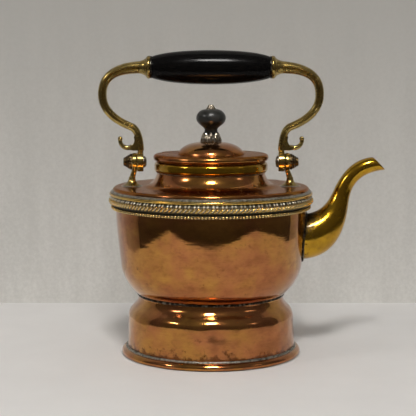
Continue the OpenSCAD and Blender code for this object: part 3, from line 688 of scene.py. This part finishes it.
def gallery_band():
    moulding = bezier((BOWL_R + 4.2, MOULDING_Z), (BOWL_R + 6.3, MOULDING_Z + 0.5),
                      (BOWL_R + 5.9, BAND_TOP_Z - 0.2), (BOWL_R + 4.4, BAND_TOP_Z), 10)
    outline = tidy([(BOWL_R, BAND_Z), (BOWL_R + 2.4, BAND_Z + 0.2)]
                   + arc(BEAD_ROW, 0.95, 1.35, -75, 75, 6)
                   + [(BOWL_R + 2.2, BEAD_ROW[1] + 1.9)]
                   + arc(LEAF_ROW, LEAF_BASE_R, LEAF_ROW_H, -72, 80, 14)
                   + moulding + [(BOWL_R, BAND_TOP_Z)])
    strip = spun(outline, 240)
    rubbed = strip.verts.layers.float.new("rubbed")
    for vert in strip.verts:
        vert[rubbed] = 0.9 if vert.co.z / MM - MOULDING_Z > 0.3 else 0.0

    bead = bmesh.new()
    rubbed = bead.verts.layers.float.new("rubbed")
    place = Matrix.Translation(((BEAD_ROW[0] + 0.2) * MM, 0, BEAD_ROW[1] * MM))
    bmesh.ops.create_icosphere(bead, subdivisions=2, radius=BEAD_R * MM, matrix=place)
    for vert in bead.verts:
        vert[rubbed] = min(1.0, max(0.0, (vert.co.x / MM - BEAD_ROW[0]) / 1.2))

    leaf = bmesh.new()
    rubbed = leaf.verts.layers.float.new("rubbed")
    pitch = math.tau * (LEAF_ROW[0] + LEAF_BASE_R) / LEAVES
    # Strokes and tips are given a shine above 1, so their crests take the painted highlight
    for k in (0, 1):
        ornament(leaf, rubbed, (pitch * 0.5 * k, -1.1), 7.0, 1.8, ORNAMENT_H * 1.15, 43)
        ornament(leaf, rubbed, (pitch * (0.25 + 0.5 * k), -0.6), 6.4, 0.8, ORNAMENT_H * 0.85, 43, 1.6)
        ornament(leaf, rubbed, (pitch * (0.25 + 0.4 * k), 3.0), 3.6, 2.3, ORNAMENT_H * 1.35, 75, 2.2)
    mesh = joined(strip, repeated(bead, BEADS), repeated(leaf, LEAVES))
    piece("stamped_band", mesh, STAMPED, "kettle", ["gallery_band"], sharp=60)

    line = spun([(BOWL_R + 1, BAND_TOP_Z), (BOWL_R + 4.3, BAND_TOP_Z), (BOWL_R + 4.6, RIM_Z - 0.5),
                 (BOWL_R + 3.4, RIM_Z + 0.3), (RIM_R + 0.3, RIM_Z + 0.8), (BOWL_R + 1, RIM_Z + 0.3)], 240)
    lumpy(line, 0.1, 2.0, 6.0)
    piece("tin_line_over_the_band", line, TIN, "kettle", ["band_solder"])


# Spout

SPOUT_REACH = 71.1
SPOUT_RISE = 60.8
SPOUT_ROOT_H = 41.0
SPOUT_MOUTH = (-11.0, 11.4)
SPOUT_OVAL = 0.86
SPOUT_WALL = 1.8
SPOUT_TURNS = 22
SPOUT_SIDES = 56
SEAM_HALF_H = 20.9
SEAM_HALF_W = 18.1
SEAM_STEPS = 96
BOWL_SWELL_H = 40


def share(u, v):
    """A step by shares of the spout's reach and of its rise."""
    return Vector((u * SPOUT_REACH, v * SPOUT_RISE))


def spout():
    root_low = Vector((BOWL_R - 2.5, SPOUT_ROOT_Z - SPOUT_ROOT_H / 2))
    root_high = root_low + Vector((0, SPOUT_ROOT_H))
    lip_low = Vector((BOWL_R + SPOUT_REACH, SPOUT_ROOT_Z + SPOUT_RISE))
    lip_high = lip_low + Vector(SPOUT_MOUTH)
    bend_high = lip_low + share(-0.632, -0.26)
    bend_low = lip_low + share(-0.459, -0.494)
    upper = bezier(root_high, root_high + share(0.239, 0.01), bend_high - share(0.066, 0.192), bend_high,
                   SPOUT_TURNS)
    upper += bezier(bend_high, bend_high + share(0.082, 0.195), lip_high - share(0.255, 0.016), lip_high,
                    SPOUT_TURNS)[1:]
    lower = bezier(root_low, root_low + share(0.415, 0.024), bend_low - share(0.035, 0.41), bend_low,
                   SPOUT_TURNS)
    lower += bezier(bend_low, bend_low + share(0.028, 0.3), lip_low - share(0.297, 0.04), lip_low,
                    SPOUT_TURNS)[1:]
    middle = [(Vector(a) + Vector(b)) / 2 for a, b in zip(upper, lower)]

    def ring(mesh, i, grow, along=0.0):
        """A loop of the spout's wall at one step, grown or shrunk and moved along the spout."""
        run = (middle[min(i + 1, len(middle) - 1)] - middle[max(i - 1, 0)]).normalized()
        half = (Vector(upper[i]) - Vector(lower[i])) / 2
        square = abs(half.x * run.y - half.y * run.x)
        oval = SPOUT_OVAL + (1 - SPOUT_OVAL) * min(1, i / SPOUT_TURNS)
        tall = half * (1 + grow / half.length)
        centre = middle[i] + run * along
        return loop(mesh, Vector((centre.x, 0, centre.y)), Vector((tall.x, 0, tall.y)),
                    Vector((0, square * oval + grow, 0)), SPOUT_SIDES)

    mesh = bmesh.new()
    last = len(middle) - 1
    loops = [ring(mesh, 0, 0.0, -1.0)] + [ring(mesh, i, 0.0) for i in range(last)]
    loops += [ring(mesh, last, 0.0, -0.5), ring(mesh, last, -0.45), ring(mesh, last, -1.0)]
    loops += [ring(mesh, i, -SPOUT_WALL) for i in range(last - 1, -1, -1)]
    loops.append(ring(mesh, 0, -SPOUT_WALL, -1.0))
    tube(mesh, loops, ends=False)
    piece("gooseneck_spout", mesh, BRASS, "kettle", ["spout"], sharp=60)


def spout_seam():
    """The lumpy solder around the spout's root, laid on the bowl where the two meet."""
    mesh = bmesh.new()
    loops = []
    for i in range(SEAM_STEPS):
        turn = math.tau * i / SEAM_STEPS
        z = SPOUT_ROOT_Z + SEAM_HALF_H * math.cos(turn)
        y = SEAM_HALF_W * math.sin(turn)
        # The bowl's radius at that height
        r = BELLY_R + (BOWL_R - BELLY_R) * min(1, max(0, (z - BELLY_Z) / BOWL_SWELL_H)) ** 0.7
        x = math.sqrt(r * r - y * y)
        out = Vector((x, y, 0)).normalized()
        across = Vector((0, math.sin(turn), math.cos(turn)))
        across = (across - out * across.dot(out)).normalized()
        wide = 2.9 + 0.7 * math.cos(turn)
        loops.append(loop(mesh, Vector((x, y, z)), across * wide, out * 1.1, 12))
    tube(mesh, loops, ends=False)
    lumpy(mesh, 0.5, 2.6, 4.0)
    piece("solder_around_the_spout", mesh, DARK_TIN, "kettle", ["spout_solder"])


# Lid and knob

PETAL_AT_R = 7.6
PETAL_UP = 4.5
PETAL_HALF_SIZE = (1.2, 3.3, 4.9)
PETAL_LEAN = -20
PETALS = 8


def domed_lid():
    dome_h = DOME_Z - LID_FLAT_Z
    flat_in = CALYX_R - 0.3
    dome_w = DOME_R - flat_in
    flat_w = LID_R - LID_ROLL_R - DOME_R - 1.4
    roll = arc((LID_R - LID_ROLL_R, LID_Z + LID_ROLL_R), LID_ROLL_R, LID_ROLL_R, -90, 84, 22)
    flat = [(DOME_R + 0.8 + flat_w * (1 - i / 8), LID_FLAT_Z) for i in range(9)]
    dome = bezier((DOME_R, LID_FLAT_Z), (DOME_R - 1.5, LID_FLAT_Z + 0.6 * dome_h),
                  (DOME_R - 0.55 * dome_w, DOME_Z), (flat_in, DOME_Z), 28)
    under_z = LID_FLAT_Z - LID_T
    inside = bezier((flat_in, DOME_Z - LID_T), (DOME_R - 0.57 * dome_w, DOME_Z - LID_T),
                    (DOME_R - 2.6, LID_FLAT_Z + 0.5 * dome_h), (DOME_R - 1, under_z), 16)
    outline = ([(COLLAR_R, LID_Z)] + roll + flat + dome + [(KNOB_ROD_R, DOME_Z), (KNOB_ROD_R, DOME_Z - LID_T)]
               + inside + [(COLLAR_R, under_z)])
    piece("domed_lid", spun(tidy(outline), 224), COPPER, "lid", ["lid_shell", "lid_rim"])


def turned_knob():
    belly = (KNOB_R, KNOB_BELLY_Z)
    low = bezier((KNOB_NECK_R, KNOB_WAIST_Z), (KNOB_NECK_R + 0.2, KNOB_WAIST_Z + 3.1),
                 (KNOB_R, KNOB_BELLY_Z - 5.7), belly, 20)
    high = bezier(belly, (KNOB_R, KNOB_BELLY_Z + 4.6), (KNOB_CAP_R + 4.8, KNOB_TOP_Z),
                  (KNOB_CAP_R, KNOB_TOP_Z), 20)
    outline = ([(KNOB_ROD_R, CUP_FLOOR_Z), (KNOB_NECK_R, CUP_FLOOR_Z)] + low + high
               + [(KNOB_ROD_R, KNOB_TOP_Z)])
    piece("turned_knob", spun(tidy(outline), 96), KNOB_BLACK, "lid", ["knob"])


def leaf_cup():
    """The cup under the knob: a turned bowl with pointed leaves around it."""
    side = [(CALYX_R - 0.6, 0), (CALYX_R - 0.2, 0.7), (CALYX_R - 1.0, 2.2), (CALYX_R - 1.6, 4.6),
            (KNOB_NECK_R + 0.9, 6.6), (KNOB_NECK_R + 0.1, 6.9)]
    cup = spun(tidy([(KNOB_ROD_R, DOME_Z)] + [(r, DOME_Z + up) for r, up in side]
                    + [(KNOB_NECK_R + 0.1, CUP_FLOOR_Z), (KNOB_ROD_R, CUP_FLOOR_Z)]), 96)
    petal = bmesh.new()
    lean = Matrix.Rotation(math.radians(PETAL_LEAN), 4, "Y")
    place = Matrix.Translation((PETAL_AT_R, 0, DOME_Z + PETAL_UP)) @ lean
    place = Matrix.Scale(MM, 4) @ place @ Matrix.Diagonal((*PETAL_HALF_SIZE, 1))
    bmesh.ops.create_uvsphere(petal, u_segments=24, v_segments=14, radius=1.0, matrix=place)
    for vert in petal.verts:
        # Broad at the foot and pointed at the tip, with a hollow on either side of a rib
        up = vert.co.z / MM - DOME_Z
        vert.co.y *= 1.12 - 0.075 * up
        vert.co.x -= 0.5 * math.exp(-((abs(vert.co.y) / MM - 1.2) / 0.6) ** 2) * MM
        vert.co.z = max(vert.co.z, (DOME_Z + 0.1) * MM)
    mesh = joined(cup, repeated(petal, PETALS))
    piece("leaf_cup_of_the_knob", mesh, BRONZE, "lid", ["knob_calyx"])


# Handle

X_AXIS = Vector((1, 0, 0))
Y_AXIS = Vector((0, 1, 0))
Z_AXIS = Vector((0, 0, 1))
ARM_START = (COLLAR_X + 4, GRIP_Z)
ARM_FAR = (97.4, 234.0)
ARM_KNEE = (70.9, 205.2)
ARM_FOOT = (63.3, 180.0)
ARM_STEPS = 26
ARM_NECK_R = 1.2
BLADE_Z = 184.0
BLADE_X = (61.3, 70.2)
BLADE_T = 3.4
HOOK_AT = Vector((74.8, 0, 193.4))
HOOK_R = 7.0
HOOK_FROM = -125
HOOK_TURN = 137
HOOK_STEPS = 24
HOOK_TIP_R = 2.25


def grip():
    half = bezier((GRIP_END_R, GRIP_HALF - 0.6), (GRIP_END_R + 3.4, GRIP_HALF - 10),
                  (GRIP_R, 0.45 * GRIP_HALF), (GRIP_R, 0), 28)
    mirrored = [(r, -x) for r, x in half[-2::-1]]
    end_r = GRIP_END_R - 0.6
    outline = ([(GRIP_BORE_R, GRIP_HALF), (end_r, GRIP_HALF)] + half + mirrored
               + [(end_r, -GRIP_HALF), (GRIP_BORE_R, -GRIP_HALF)])
    mesh = along_x(spun(tidy(outline), 112), 0, GRIP_Z)
    piece("turned_grip", mesh, WOOD, "bail", ["grip"])


def shifted(point, x, z):
    return (point[0] + x, point[1] + z)


def bar_radius(along):
    """The radius of an arm's bar: 0 is its thick start at the collar, 1 its far side, 2 its knee."""
    if along < 1:
        return ARM_R + 2 * (1 - along) ** 2
    return ARM_R - 0.4 * min(1, along - 1) - 0.6 * max(0, along - 2)


def disc(radius, low, high, rounded):
    """A disc about +X through the pivot, with a hole for the bolt and rounded edges."""
    soft = 0.3 * rounded
    outline = [(BOLT_R, low), (radius - rounded, low), (radius - soft, low + soft), (radius, low + rounded),
               (radius, high - rounded), (radius - soft, high - soft), (radius - rounded, high),
               (BOLT_R, high)]
    return along_x(spun(outline, 72), 0, PIVOT_Z)


def grooved_bar():
    """The C-scroll of an arm: a round bar with a groove along its front and its back."""
    line = (bezier(ARM_START, shifted(ARM_START, 27, 0.4), shifted(ARM_FAR, 0.2, 17), ARM_FAR, ARM_STEPS)
            + bezier(ARM_FAR, shifted(ARM_FAR, 0, -15), shifted(ARM_KNEE, 13, 4.8), ARM_KNEE, ARM_STEPS)[1:]
            + bezier(ARM_KNEE, shifted(ARM_KNEE, -5, -2.9), shifted(ARM_FOOT, 0, 14), ARM_FOOT, 18)[1:])
    mesh = bmesh.new()
    loops = []
    for i, point in enumerate(line):
        before = Vector(line[max(i - 1, 0)])
        run = (Vector(line[min(i + 1, len(line) - 1)]) - before).normalized()
        # Below the blade only a thin neck runs on into the eye
        radius = bar_radius(i / ARM_STEPS) if point[1] > BLADE_Z else ARM_NECK_R
        inner = Vector((run.y, 0, -run.x))
        centre = Vector((point[0], 0, point[1]))
        loops.append(loop(mesh, centre, inner * radius, Y_AXIS * radius, 40))
        # The groove is a little nearer to the bar's inner side
        for vert in {vert for edge in loops[-1] for vert in edge.verts}:
            off = vert.co / MM - centre
            turn = math.degrees(math.atan2(abs(off.dot(Y_AXIS)), off.dot(inner)))
            cut = 0.5 * math.exp(-((turn - 78) / 12) ** 2)
            vert.co -= off * cut * MM
    return tube(mesh, loops)


def arm_collar():
    """The cast collar that takes the end of the grip and tapers into the bar."""
    edge = [(0, COLLAR_X), (GRIP_COLLAR_R - 1, COLLAR_X), (GRIP_COLLAR_R - 0.3, COLLAR_X + 0.5),
            (GRIP_COLLAR_R, COLLAR_X + 1.5), (GRIP_COLLAR_R - 0.3, COLLAR_X + 2.6)]
    end = COLLAR_X + GRIP_COLLAR_L
    taper = bezier((GRIP_COLLAR_R - 1, COLLAR_X + 3.4), (ARM_R + 3.4, COLLAR_X + 4.5),
                   (ARM_R + 2.2, COLLAR_X + 7), (ARM_R + 1.8, end), 12)
    return along_x(spun(edge + taper + [(0, end)], 72), 0, GRIP_Z)


def arm_hook():
    """The hook that curls up beside the blade, with a round tip."""
    mesh = bmesh.new()
    bends = []
    for i in range(HOOK_STEPS + 1):
        turn = math.radians(HOOK_FROM + HOOK_TURN * i / HOOK_STEPS)
        out = Vector((math.cos(turn), 0, math.sin(turn)))
        thick = 2.3 - 0.5 * i / HOOK_STEPS
        deep = thick - 0.5 * max(0, 1 - i / 10)
        bends.append(loop(mesh, HOOK_AT + out * HOOK_R, out * thick, Y_AXIS * deep, 20))
    tube(mesh, bends)
    tip = math.radians(HOOK_FROM + HOOK_TURN - 1)
    place = Matrix.Translation((HOOK_AT + Vector((math.cos(tip), 0, math.sin(tip))) * HOOK_R) * MM)
    bmesh.ops.create_uvsphere(mesh, u_segments=20, v_segments=12, radius=HOOK_TIP_R * MM, matrix=place)
    return mesh


def around_hook(radius, degrees):
    """The point beside the hook's centre at that radius and angle."""
    turn = math.radians(degrees)
    return (HOOK_AT.x + radius * math.cos(turn), HOOK_AT.z + radius * math.sin(turn))


def arm(name, side, node):
    """A cast arm: grooved C-scroll, collar, hook, flat blade, tongue and eye."""
    under = [around_hook(HOOK_R + 1.7, degrees) for degrees in (-90, -72, -56)]
    inside = [around_hook(HOOK_R - 1.1, degrees) for degrees in range(-56, -207, -15)]
    top = [(67.6, 200.0), (63.8, 199.0)]
    blade = slab([(x, BLADE_Z) for x in BLADE_X] + under + inside + top, BLADE_T, (X_AXIS, Z_AXIS, Y_AXIS),
                 Vector())
    tongue = slab([(-2.2, PIVOT_Z + 5), (2.2, PIVOT_Z + 5), (1.0, PIVOT_Z + 8.4), (1.0, PIVOT_Z + 13),
                   (-1.0, PIVOT_Z + 13), (-1.0, PIVOT_Z + 8.4)],
                  EYE_T - 0.8, (Y_AXIS, Z_AXIS, X_AXIS), Vector((EYE_IN_X + EYE_T / 2, 0, 0)))
    eye = disc(EYE_R, EYE_IN_X, EYE_IN_X + EYE_T, 0.5)
    mesh = joined(grooved_bar(), arm_collar(), arm_hook(), blade, tongue, eye)
    bmesh.ops.scale(mesh, vec=(side, 1, 1), verts=mesh.verts)
    fused(piece(name, mesh, HANDLED, "bail", [node]), 0.29, 1)


def post(name, side, node):
    """A cast post: bell foot, thin shank that leans in, and a round head behind the eye."""
    foot_r = POST_FOOT_R + 0.2
    neck = (4.1, SHOULDER_Z + 3.9)
    top_z = SHOULDER_Z + 8.4
    bell = [(0, POST_STUD_Z), (POST_WAIST_R, POST_STUD_Z), (POST_WAIST_R, SHOULDER_Z), (foot_r, SHOULDER_Z),
            (foot_r, SHOULDER_Z + 0.7)]
    bell += bezier((POST_FOOT_R, SHOULDER_Z + 0.9), (6.4, SHOULDER_Z + 1.7), (5.0, SHOULDER_Z + 2.5),
                   neck, 12)
    bell += bezier(neck, (3.4, SHOULDER_Z + 5.1), (3.0, SHOULDER_Z + 6.4), (2.8, top_z), 8) + [(0, top_z)]
    mesh = spun(tidy(bell), 96)
    bmesh.ops.translate(mesh, vec=(POST_X * MM, 0, 0), verts=mesh.verts)

    # The shank's stations: how far in from the foot's axis, how high, and its two half-widths
    lean = POST_X - POST_HEAD_X - POST_HEAD_T / 2
    stations = [(0, 4.0, 3.2, 3.2), (0.3, 7.6, 2.75, 2.75), (1.1, 10.8, 2.6, 2.6), (2.0, 13.2, 2.5, 2.7),
                (lean, 15.2, 2.15, 2.9), (lean, 18.0, 2.1, 3.2)]
    shank = bmesh.new()
    tube(shank, [loop(shank, Vector((POST_X - inward, 0, SHOULDER_Z + up)), X_AXIS * wide, Y_AXIS * deep, 32)
                 for inward, up, wide, deep in stations])
    head = disc(POST_HEAD_R, POST_HEAD_X, POST_HEAD_X + POST_HEAD_T, 0.9)
    mesh = joined(mesh, shank, head)
    bmesh.ops.scale(mesh, vec=(side, 1, 1), verts=mesh.verts)
    fused(piece(name, mesh, HANDLED, "kettle", [node]), 0.28, 2)


foot()
bowl()
shoulder()
gallery_band()
spout()
spout_seam()
domed_lid()
turned_knob()
leaf_cup()
grip()
arm("left_arm", -1, "arm_left")
arm("right_arm", 1, "arm_right")
post("left_post", -1, "post_left")
post("right_post", 1, "post_right")

# Finishes of the CAD nodes that keep their own shape
KEPT = {COPPER: ["foot_plate", "lid_flange"],
        TIN: ["post_solder"],
        DARK_TIN: ["grip_washers"],
        BRONZE: ["knob_cap", "pivot_bolt_left", "pivot_bolt_right"],
        TARNISHED: ["pivot_nut_left", "pivot_nut_right"],
        STEEL: ["post_washers", "post_nuts", "knob_rod", "knob_washer", "knob_nut", "grip_rod"]}
for finish, nodes in KEPT.items():
    for node in nodes:
        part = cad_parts[node]
        part.data.materials.clear()
        part.data.materials.append(finish)


# Stage: a pale table against a pale wall, in a dim room that only reflections see

TABLE_LEFT = -430
TABLE_RIGHT = 466
TABLE_FRONT = -390
WALL_Y = 232
WALL_LEFT = -2400
WALL_RIGHT = 880
WALL_FOOT = -900
WALL_TOP = 1700
WALL_SHADE_LOW = 20
WALL_SHADE_HIGH = 360
FAR_HALF = 3000
FAR_Z = -0.2
ROOM_HALF_W = 4000
ROOM_FLOOR = -1000
ROOM_CEILING = 3000


def rectangle(left, right, low, high):
    """The corners of a rectangle, anticlockwise."""
    return [(left, low), (right, low), (right, high), (left, high)]


def staged(name, mesh, finish):
    """Makes a bmesh part of the stage."""
    data = bpy.data.meshes.new(name)
    mesh.to_mesh(data)
    mesh.free()
    data.materials.append(finish)
    made = bpy.data.objects.new(name, data)
    bpy.context.scene.collection.objects.link(made)
    return made


def plane(name, corners, finish):
    mesh = bmesh.new()
    mesh.faces.new([mesh.verts.new(Vector(corner) * MM) for corner in corners])
    return staged(name, mesh, finish)


def pale_top():
    """A painted table top, pale and slightly soft in its shine."""
    made, tree, shader = blank("pale_table_top", Roughness=0.62, Specular_IOR_Level=0.3)
    tone = add(tree, "MapRange", pattern(tree, 60, seed=0.2), 0.3, 0.7)
    paint = add(tree, "Mix", tone, "#D6D5D4", "#DAD9D8", data_type="RGBA")
    tree.links.new(paint, shader.inputs["Base Color"])
    return made


def pale_wall():
    """Matt wall paint that shows only its front, so a camera behind it looks through."""
    made, tree, shader = blank("matt_wall_paint", Roughness=0.9)
    broad = pattern(tree, 25, stretch=(1, 1, 6), seed=0.4)
    fine = pattern(tree, 3.5, detail=3.0, roughness=0.7, seed=0.8)
    tone = add(tree, "MapRange", add(tree, "Mix", 0.5, broad, fine), 0.38, 0.62)
    paint = add(tree, "Mix", tone, "#C8C7C3", "#D7D6D2", data_type="RGBA")
    shade = add(tree, "MapRange", place_along(tree, "Z"), WALL_SHADE_LOW * MM, WALL_SHADE_HIGH * MM)
    tree.links.new(add(tree, "Mix", shade, paint, "#AEADA9", data_type="RGBA"), shader.inputs["Base Color"])
    back = add(tree, "NewGeometry", out="Backfacing")
    both = add(tree, "MixShader", back, shader.outputs["BSDF"], add(tree, "BsdfTransparent"))
    tree.links.new(both, tree.nodes["Material Output"].inputs["Surface"])
    return made


def dim_room():
    """The unlit room in front of the table: darker low down, paler towards the ceiling."""
    made, tree, shader = blank("dim_room")
    tree.nodes.remove(shader)
    up = add(tree, "MapRange", place_along(tree, "Z"), ROOM_FLOOR * MM, ROOM_CEILING * MM)
    tones = [(0.0, "#3E3B38"), (0.3, "#575350"), (0.7, "#5C5855"), (1.0, "#6C6A68")]
    glow = add(tree, "Emission", add(tree, "ValToRGB", up, stops=tones), 1.0)
    tree.links.new(glow, tree.nodes["Material Output"].inputs["Surface"])
    return made


TOP = pale_top()
plane("table", [(x, y, 0) for x, y in rectangle(TABLE_LEFT, TABLE_RIGHT, TABLE_FRONT, WALL_Y)], TOP)
far = rectangle(-FAR_HALF, FAR_HALF, -FAR_HALF, FAR_HALF)
far_floor = plane("floor_beyond", [(x, y, FAR_Z) for x, y in far], TOP)
far_floor.visible_glossy = False
far_floor.visible_diffuse = False
far_floor.visible_shadow = False
plane("back_wall", [(x, WALL_Y, z) for x, z in rectangle(WALL_LEFT, WALL_RIGHT, WALL_FOOT, WALL_TOP)],
      pale_wall())

room_mesh = bmesh.new()
room_size = Matrix.Diagonal((2 * ROOM_HALF_W, 2 * ROOM_HALF_W, ROOM_CEILING - ROOM_FLOOR, 1))
room_place = Matrix.Translation((0, 0, (ROOM_CEILING + ROOM_FLOOR) / 2))
bmesh.ops.create_cube(room_mesh, size=1.0, matrix=Matrix.Scale(MM, 4) @ room_place @ room_size)
staged("room", room_mesh, dim_room()).visible_camera = False

world = bpy.data.worlds.new("pale_surroundings")
bpy.context.scene.world = world
world.use_nodes = True
world.node_tree.nodes["Background"].inputs["Color"].default_value = linear("#C9C6C1")
world.node_tree.nodes["Background"].inputs["Strength"].default_value = 1.0

LAMP_COLOUR = "#FFFCF8"
LAMP_AIM = Vector((0, 0, 0.12))


def lamp(name, azimuth, elevation, distance, wide, high, watts):
    """A soft lamp aimed at the kettle, in degrees and metres.

    Azimuth 0 is towards the camera and grows to its right.
    """
    light = bpy.data.lights.new(name, "AREA")
    light.shape = "RECTANGLE"
    light.size = wide
    light.size_y = high
    light.energy = watts
    light.color = linear(LAMP_COLOUR)[:3]
    made = bpy.data.objects.new(name, light)
    bpy.context.scene.collection.objects.link(made)
    a = math.radians(azimuth)
    e = math.radians(elevation)
    aim = Vector((math.sin(a) * math.cos(e), -math.cos(a) * math.cos(e), math.sin(e)))
    made.location = LAMP_AIM + aim * distance
    made.rotation_euler = aim.to_track_quat("Z", "Y").to_euler()
    return made


lamp("front_lamp", 2, 51, 2.3, 0.36, 0.38, 33.5)
lamp("left_lamp", -60, 33, 2.5, 0.36, 0.11, 6.5)
lamp("right_lamp", 65, 28, 2.6, 0.3, 0.12, 0.6)
# Daylight from the room's ceiling fills the shadows, and isn't seen in the metal
ceiling = lamp("ceiling_light", 0, 72, 2.2, 3.0, 3.0, 12)
ceiling.visible_glossy = False

# Camera at the photograph's place
CAMERA_AT = (-2.7, -1149.1, 265.7)
CAMERA_TILT = 6.64
FOCAL_LENGTH = 110.57
SENSOR_W = 36
lens = bpy.data.cameras.new("camera")
lens.lens = FOCAL_LENGTH
lens.sensor_width = SENSOR_W
lens.clip_start = 0.05
lens.clip_end = 20
camera = bpy.data.objects.new("camera", lens)
bpy.context.scene.collection.objects.link(camera)
camera.location = Vector(CAMERA_AT) * MM
camera.rotation_euler = (math.radians(90 - CAMERA_TILT), 0, 0)
bpy.context.scene.camera = camera
bpy.context.scene.view_settings.view_transform = "Standard"
